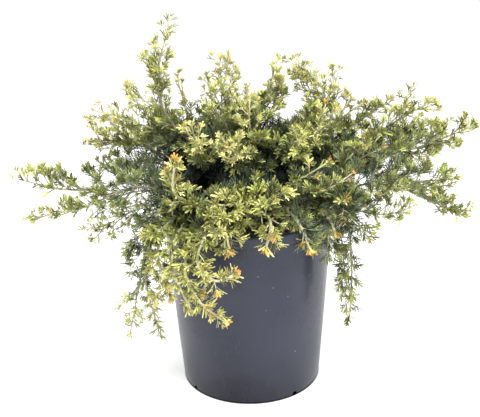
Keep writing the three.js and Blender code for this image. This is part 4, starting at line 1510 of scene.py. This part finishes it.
class WoodyFrame:
    """The trunk, its crown, the boughs and the barked foot of every stem."""

    TRUNK_FOOT = Vector((0.0, 4.0, 168.0))
    TRUNK_RADIUS = (6.0, 5.4)
    TRUNK_STEPS = 8
    TRUNK_WOBBLE = 0.4
    TRUNK_SIDES = 14
    BOUGH_RADIUS = (3.0, 2.0)
    BOUGH_SIDES = 9
    FOOT_RADIUS = (1.8, 1.4)
    FOOT_LENGTH = 24.0
    FOOT_SIDES = 7
    BAR_STATION = 5.0

    def __init__(self) -> None:
        """Starts the wood."""
        self.sheet = Sheet()
        self.chance = random.Random(7)

    def build(self, bark: bpy.types.Material) -> bpy.types.Object:
        """Builds the wood as one piece, which stands for its CAD node."""
        self._trunk()
        for name in BOUGHS:
            curve = bough_curve(name)
            self._bar(curve, curve.length, self.BOUGH_RADIUS, self.BOUGH_SIDES)
        for row in STEMS.values():
            self._bar(stem_curve(row), self.FOOT_LENGTH, self.FOOT_RADIUS, self.FOOT_SIDES)
        made = self.sheet.piece("bark_frame", [bark])
        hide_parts("woody_frame")
        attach(made, "root")
        return made

    def _trunk(self) -> None:
        """The trunk, and the burl at its top that the boughs leave."""
        top = CROWN + UP * CROWN_RADIUS * 0.25
        trunk = []
        for i in range(self.TRUNK_STEPS + 1):
            share = i / self.TRUNK_STEPS
            wobble = Vector()
            if 0 < i < self.TRUNK_STEPS:
                wobble.x = self.chance.uniform(-self.TRUNK_WOBBLE, self.TRUNK_WOBBLE)
                wobble.y = self.chance.uniform(-self.TRUNK_WOBBLE, self.TRUNK_WOBBLE)
            centre = self.TRUNK_FOOT.lerp(top, share) + wobble
            trunk.append((centre, mix(*self.TRUNK_RADIUS, share), Tint(0.0)))
        self.sheet.tube(trunk, self.TRUNK_SIDES)
        ball = {"subdivisions": 3, "radius": CROWN_RADIUS * 0.93, "matrix": Matrix.Translation(CROWN)}
        for vert in bmesh.ops.create_icosphere(self.sheet.bm, **ball)["verts"]:
            vert.co += (vert.co - CROWN) * noise.noise(vert.co * 0.16) * 0.16

    def _bar(self, curve: Spline, end: float, radii: tuple[float, float], sides: int) -> None:
        """A round bar along a curve's start, slightly uneven like wood."""
        count = max(3, round(end / self.BAR_STATION))
        stations = []
        for i in range(count + 1):
            radius = mix(*radii, i / count) * self.chance.uniform(0.93, 1.06)
            stations.append((curve.at(end * i / count), radius, Tint(0.0)))
        self.sheet.tube(stations, sides)


@dataclass
class Pot:
    """The nursery pot: a tapered wall with a proud lip band, on a base with four drains."""

    height: float = 211.0
    base_radius: float = 83.0
    neck_radius: float = 97.8
    lip_radius: float = 100.0
    lip_height: float = 12.0
    wall: float = 1.8
    floor: float = 2.0
    foot_round: float = 3.0
    mouth_flare: float = 0.6
    drains: int = 4
    drain_first: float = -54.0
    drain_width: float = 9.0
    drain_height: float = 3.0
    drain_from_axis: float = 42.0
    drain_hole: float = 2.6
    segments: int = 144
    arch_steps: int = 8
    crease: float = 38.0

    def wall_radius(self, height: float) -> float:
        """The outer wall's radius at a height."""
        return mix(self.base_radius, self.neck_radius, height / (self.height - self.lip_height))

    def _solid(self, name: str, bm: bmesh.types.BMesh) -> bpy.types.Object:
        """A closed mesh as an object, still in millimetres."""
        bmesh.ops.recalc_face_normals(bm, faces=bm.faces)
        return place_object(name, kept_mesh(bm, name))

    def _spun(self, name: str, profile: list[tuple[float, float]]) -> bpy.types.Object:
        """A solid spun from points of radius and height."""
        bm = bmesh.new()
        spin_profile(bm, profile, self.segments)
        return self._solid(name, bm)

    def _turn(self, drain: int) -> Matrix:
        """The turn from the front to one of the drains."""
        return Matrix.Rotation(math.radians(self.drain_first + 360 / self.drains * drain), 4, "Z")

    def _arches(self, name: str, width: float, height: float, start: float, end: float) -> bpy.types.Object:
        """A radial bar with a rounded top for every drain, from one distance off the axis to another."""
        bm = bmesh.new()
        arc = [(-width / 2, -1.0), (width / 2, -1.0)]
        for step in range(self.arch_steps + 1):
            angle = math.pi * step / self.arch_steps
            arc.append((math.cos(angle) * width / 2, height * (0.45 + 0.55 * math.sin(angle))))
        for i in range(self.drains):
            verts = [bm.verts.new((x, -start, z)) for x, z in arc]
            fresh = fresh_verts(bmesh.ops.extrude_face_region(bm, geom=[bm.faces.new(verts)])["geom"])
            bmesh.ops.translate(bm, vec=(0, start - end, 0), verts=fresh)
            bmesh.ops.rotate(bm, cent=(0, 0, 0), matrix=self._turn(i).to_3x3(), verts=verts + fresh)
        return self._solid(name, bm)

    def _holes(self) -> bpy.types.Object:
        """A short peg that lies through the bottom corner at the end of each drain."""
        bm = bmesh.new()
        hole = self.drain_hole
        peg = {"cap_ends": True, "segments": 24, "radius1": hole, "radius2": hole, "depth": 14.0}
        end = Matrix.Translation((0, self.foot_round - self.base_radius, self.drain_height))
        for i in range(self.drains):
            place = self._turn(i) @ end @ Matrix.Rotation(math.radians(90), 4, "X")
            bmesh.ops.create_cone(bm, matrix=place, **peg)
        return self._solid("drain_pegs", bm)

    def _outside(self) -> list[tuple[float, float]]:
        """Radius and height of points up the outside: rounded foot, tapered wall and proud lip."""
        lip_foot, lip, foot = self.height - self.lip_height, self.lip_radius, self.foot_round
        neck = self.wall_radius(lip_foot)
        points = [(0.0, 0.0), (self.base_radius - foot - 2.0, 0.0)]
        for i in range(5):
            angle = math.radians(90 * i / 4)
            points.append((self.base_radius - foot + math.sin(angle) * foot, foot - math.cos(angle) * foot))
        points += [(self.wall_radius(height), height) for height in (12.0, 70.0, 140.0, lip_foot - 1.6)]
        points += [(neck - 0.05, lip_foot - 0.5), (neck + 0.5, lip_foot - 0.1)]
        points += [(lip - 0.75, lip_foot + 0.3), (lip - 0.4, lip_foot + 1.2), (lip, self.height - 2.2)]
        points += [(lip - 0.15, self.height - 0.9), (lip - 0.6, self.height - 0.2), (lip - 1.1, self.height)]
        return points + [(0.0, self.height)]

    def _inside(self) -> list[tuple[float, float]]:
        """Radius and height of points up the inside, which flares at the mouth."""
        lip_foot = self.height - self.lip_height
        mouth = self.wall_radius(lip_foot) - self.wall
        points = [(0.0, self.floor), (self.wall_radius(self.floor) - self.wall - 2.0, self.floor)]
        points += [(self.wall_radius(self.floor + 2.0) - self.wall, self.floor + 2.0), (mouth, lip_foot)]
        flared = mouth + self.mouth_flare
        points += [(flared, self.height - 0.6), (flared + 0.5, self.height + 1.0)]
        return points + [(0.0, self.height + 1.0)]

    def build(self, plastic: bpy.types.Material) -> bpy.types.Object:
        """Builds the pot as one piece, which stands for its CAD node."""
        pot = self._spun("pot_shell", self._outside())
        hollow = self._spun("pot_hollow", self._inside())
        width, height, start = self.drain_width, self.drain_height, self.drain_from_axis
        skin = self.floor
        ribs = self._arches("pot_ribs", width + 2 * skin, height + skin, start - skin, self.base_radius - 2.0)
        drains = self._arches("pot_drains", width, height, start, self.base_radius + 10.0)
        self._cut(hollow, ribs)
        for tool in (hollow, drains, self._holes()):
            self._cut(pot, tool)
        bm = bmesh.new()
        bm.from_mesh(pot.data)
        bmesh.ops.scale(bm, vec=(METRES,) * 3, verts=bm.verts)
        for face in bm.faces:
            face.smooth = True
        for edge in bm.edges:
            if len(edge.link_faces) == 2 and edge.calc_face_angle() > math.radians(self.crease):
                edge.smooth = False
        bm.to_mesh(pot.data)
        bm.free()
        pot.data.materials.clear()
        pot.data.materials.append(plastic)
        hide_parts("pot")
        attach(pot, "root")
        LOG.info("%s: %d faces", pot.name, len(pot.data.polygons))
        return pot

    @staticmethod
    def _cut(body: bpy.types.Object, tool: bpy.types.Object) -> None:
        """Cuts a body by a tool, and throws the tool away."""
        modifier = body.modifiers.new("shape", "BOOLEAN")
        modifier.operation = "DIFFERENCE"
        modifier.solver = "EXACT"
        modifier.object = tool
        graph = bpy.context.evaluated_depsgraph_get()
        result = bpy.data.meshes.new_from_object(body.evaluated_get(graph))
        body.modifiers.clear()
        old = body.data
        body.data = result
        bpy.data.meshes.remove(old)
        bpy.data.objects.remove(tool)


@dataclass
class PottingMix:
    """The potting mix: a lumpy fill with chips of bark lying on it."""

    foot: float = 5.3
    level: float = 190.0
    crown: float = 4.0
    lump: float = 1.6
    gap: float = 0.7
    rings: int = 26
    segments: int = 96
    chips: int = 420
    chip_sizes: tuple[float, float] = (1.6, 4.6)
    round_trunk: float = 9.0

    def _edge(self, pot: Pot, height: float) -> float:
        """The fill's radius at a height."""
        return pot.wall_radius(height) - pot.wall - self.gap

    def _top(self, point: Vector, edge: float) -> float:
        """The height of the fill's top."""
        share = clamp(math.hypot(point.x, point.y) / edge)
        lumps = math.sin(point.x * 0.11 + point.y * 0.05) + math.cos(point.y * 0.13 - point.x * 0.04)
        return self.level + self.crown * (1 - share**2) + self.lump * lumps * min(1.0, (1 - share) * 6)

    def build(self, pot: Pot, crumbs: bpy.types.Material) -> bpy.types.Object:
        """Builds the fill as one piece, which stands for its CAD node."""
        sheet = Sheet()
        bm = sheet.bm
        edge = self._edge(pot, self.level)
        foot = self._edge(pot, self.foot)
        half = (mix(foot, edge, 0.5), mix(self.foot, self.level, 0.5))
        profile = [(0.0, self.foot), (foot, self.foot), half]
        profile += [(edge * (1 - i / self.rings), self.level) for i in range(self.rings + 1)]
        spin_profile(bm, profile, self.segments)
        for vert in bm.verts:
            if vert.co.z > self.level - 1 and math.hypot(vert.co.x, vert.co.y) < edge - 0.5:
                crumb = noise.noise(vert.co * 0.35) * 1.1 + noise.noise(vert.co * 0.9) * 0.5
                vert.co.z = self._top(vert.co, edge) + crumb
        bmesh.ops.recalc_face_normals(bm, faces=bm.faces)
        sheet.settle()
        self._scatter(sheet, edge)
        made = sheet.piece("mix_fill", [crumbs])
        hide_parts("potting_mix")
        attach(made, "root")
        return made

    def _scatter(self, sheet: Sheet, edge: float) -> None:
        """Lays chips of bark on the fill."""
        chance = random.Random(41)
        pattern = self._chip()
        for _ in range(self.chips):
            out = edge * 0.97 * math.sqrt(chance.random())
            angle = chance.uniform(0, math.tau)
            point = Vector((out * math.cos(angle), out * math.sin(angle), 0.0))
            size = chance.uniform(*self.chip_sizes)
            point.z = self._top(point, edge) + size * 0.15
            if (point - CROWN).to_2d().length < self.round_trunk or out + size > edge:
                continue
            turn = Matrix.Rotation(chance.uniform(0, math.tau), 4, "Z")
            turn = turn @ Matrix.Rotation(chance.gauss(0, 0.4), 4, "X")
            flat = (size, size * chance.uniform(0.4, 0.8), size * chance.uniform(0.25, 0.5), 1.0)
            place = Matrix.Translation(point) @ turn @ Matrix.Diagonal(flat)
            sheet.stamp(pattern, place, Tint(1.0, 0.0, chance.random()))

    @staticmethod
    def _chip() -> bpy.types.Mesh:
        """One broken chip, of unit half length."""
        sheet = Sheet()
        for vert in bmesh.ops.create_icosphere(sheet.bm, subdivisions=1, radius=1.0)["verts"]:
            vert.co *= 0.8 + 0.45 * noise.noise(vert.co * 1.7)
        return kept_mesh(sheet.bm, "bark_chip")


@dataclass
class Studio:
    """The camera, floor and lights."""

    place: tuple[float, float, float] = (-8.95, -900.6, 523.9)
    pitch: float = 19.229
    roll: float = 1.613
    lens: float = 61.5
    sensor: float = 36.0
    floor_side: float = 12000.0
    floor_drop: float = 0.2
    aim_height: float = 240.0

    def build(self, floor_finish: bpy.types.Material) -> None:
        """Sets up the camera, the floor and the lights."""
        self._camera()
        bm = bmesh.new()
        bmesh.ops.create_grid(bm, x_segments=1, y_segments=1, size=self.floor_side / 2 * METRES)
        mesh = kept_mesh(bm, "studio_floor")
        mesh.materials.append(floor_finish)
        floor = place_object("studio_floor", mesh)
        floor.location.z = -self.floor_drop * METRES
        floor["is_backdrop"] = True
        world = bpy.data.worlds.new("white_room")
        bpy.context.scene.world = world
        world.use_nodes = True
        self._sky(world.node_tree)
        self._lamp("key", (-350, -800, 1900), 800, 64.0)
        self._lamp("fill", (1300, -500, 1000), 900, 16.0)
        bpy.context.scene.view_settings.view_transform = "Standard"

    @staticmethod
    def _sky(tree: bpy.types.NodeTree) -> None:
        """A white surround whose light comes mostly from above, behind and the right, as from white walls."""
        nodes = Nodes(tree)
        ways = nodes.add("SeparateXYZ", {"Vector": nodes.add("TexCoord").outputs["Generated"]}).outputs
        wall = nodes.spread(ways["Y"], -0.8, 0.8, (0.22, 0.96))
        ceiling = nodes.spread(ways["Z"], 0.0, 1.0, (0.0, 0.33))
        side = nodes.spread(ways["X"], -1.0, 1.0, (-0.28, 0.40))
        light = nodes.maths("ADD", nodes.maths("ADD", wall, ceiling), side)
        seen = nodes.add("LightPath").outputs["Is Camera Ray"]
        strength = nodes.add("Mix", {0: seen, 2: light, 3: 1.0}, data_type="FLOAT").outputs[0]
        tree.links.new(strength, tree.nodes["Background"].inputs["Strength"])
        tree.nodes["Background"].inputs["Color"].default_value = (1.0, 1.0, 1.0, 1.0)

    def _camera(self) -> None:
        """The camera that took the photograph."""
        pitch, roll = math.radians(self.pitch), math.radians(self.roll)
        right = Vector((1, 0, 0))
        ahead = Vector((0, math.cos(pitch), -math.sin(pitch)))
        above = Vector((0, math.sin(pitch), math.cos(pitch)))
        x_axis = right * math.cos(roll) - above * math.sin(roll)
        y_axis = right * math.sin(roll) + above * math.cos(roll)
        camera = bpy.data.cameras.new("camera")
        camera.lens = self.lens
        camera.sensor_width = self.sensor
        camera.clip_end = 50.0
        made = bpy.data.objects.new("camera", camera)
        turn = Matrix((x_axis, y_axis, -ahead)).transposed().to_4x4()
        made.matrix_world = Matrix.Translation(Vector(self.place) * METRES) @ turn
        bpy.context.scene.collection.objects.link(made)
        bpy.context.scene.camera = made

    def _lamp(self, name: str, place: tuple[float, float, float], size: float, power: float) -> None:
        """A square area light, aimed at the middle of the plant."""
        light = bpy.data.lights.new(name, "AREA")
        light.size = size * METRES
        light.energy = power
        made = bpy.data.objects.new(name, light)
        made.location = Vector(place) * METRES
        aim = Vector((0.0, 0.0, self.aim_height)) - Vector(place)
        made.rotation_euler = aim.to_track_quat("-Z", "Y").to_euler()
        bpy.context.scene.collection.objects.link(made)


def main() -> None:
    """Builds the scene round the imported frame, piece by piece."""
    logging.basicConfig(level=logging.INFO, format="%(name)s %(message)s")
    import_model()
    cad_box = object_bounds()
    low, high = (Vector(corner) / METRES for corner in cad_box)
    spare = (high - low) * 0.015
    Studio().build(FloorFinish().make())
    pot = Pot()
    pot.build(PotFinish().make())
    PottingMix().build(pot, MixFinish().make())
    WoodyFrame().build(BarkFinish().make())
    patterns = LeafPatterns(3)
    keepout = Keepout(low - spare, high + spare)
    leaf, stem = LeafFinish().make(), StemFinish().make()
    inner = InnerTwigs(patterns, keepout)
    inner.build(leaf, stem)
    leaves = inner.leaves
    for name, row in STEMS.items():
        shoot = LeafyStem(name, row, patterns, keepout)
        shoot.build(leaf, stem)
        leaves += shoot.leaves
    LOG.info("%d leaves in all", leaves)


if __name__ == "__main__":
    main()
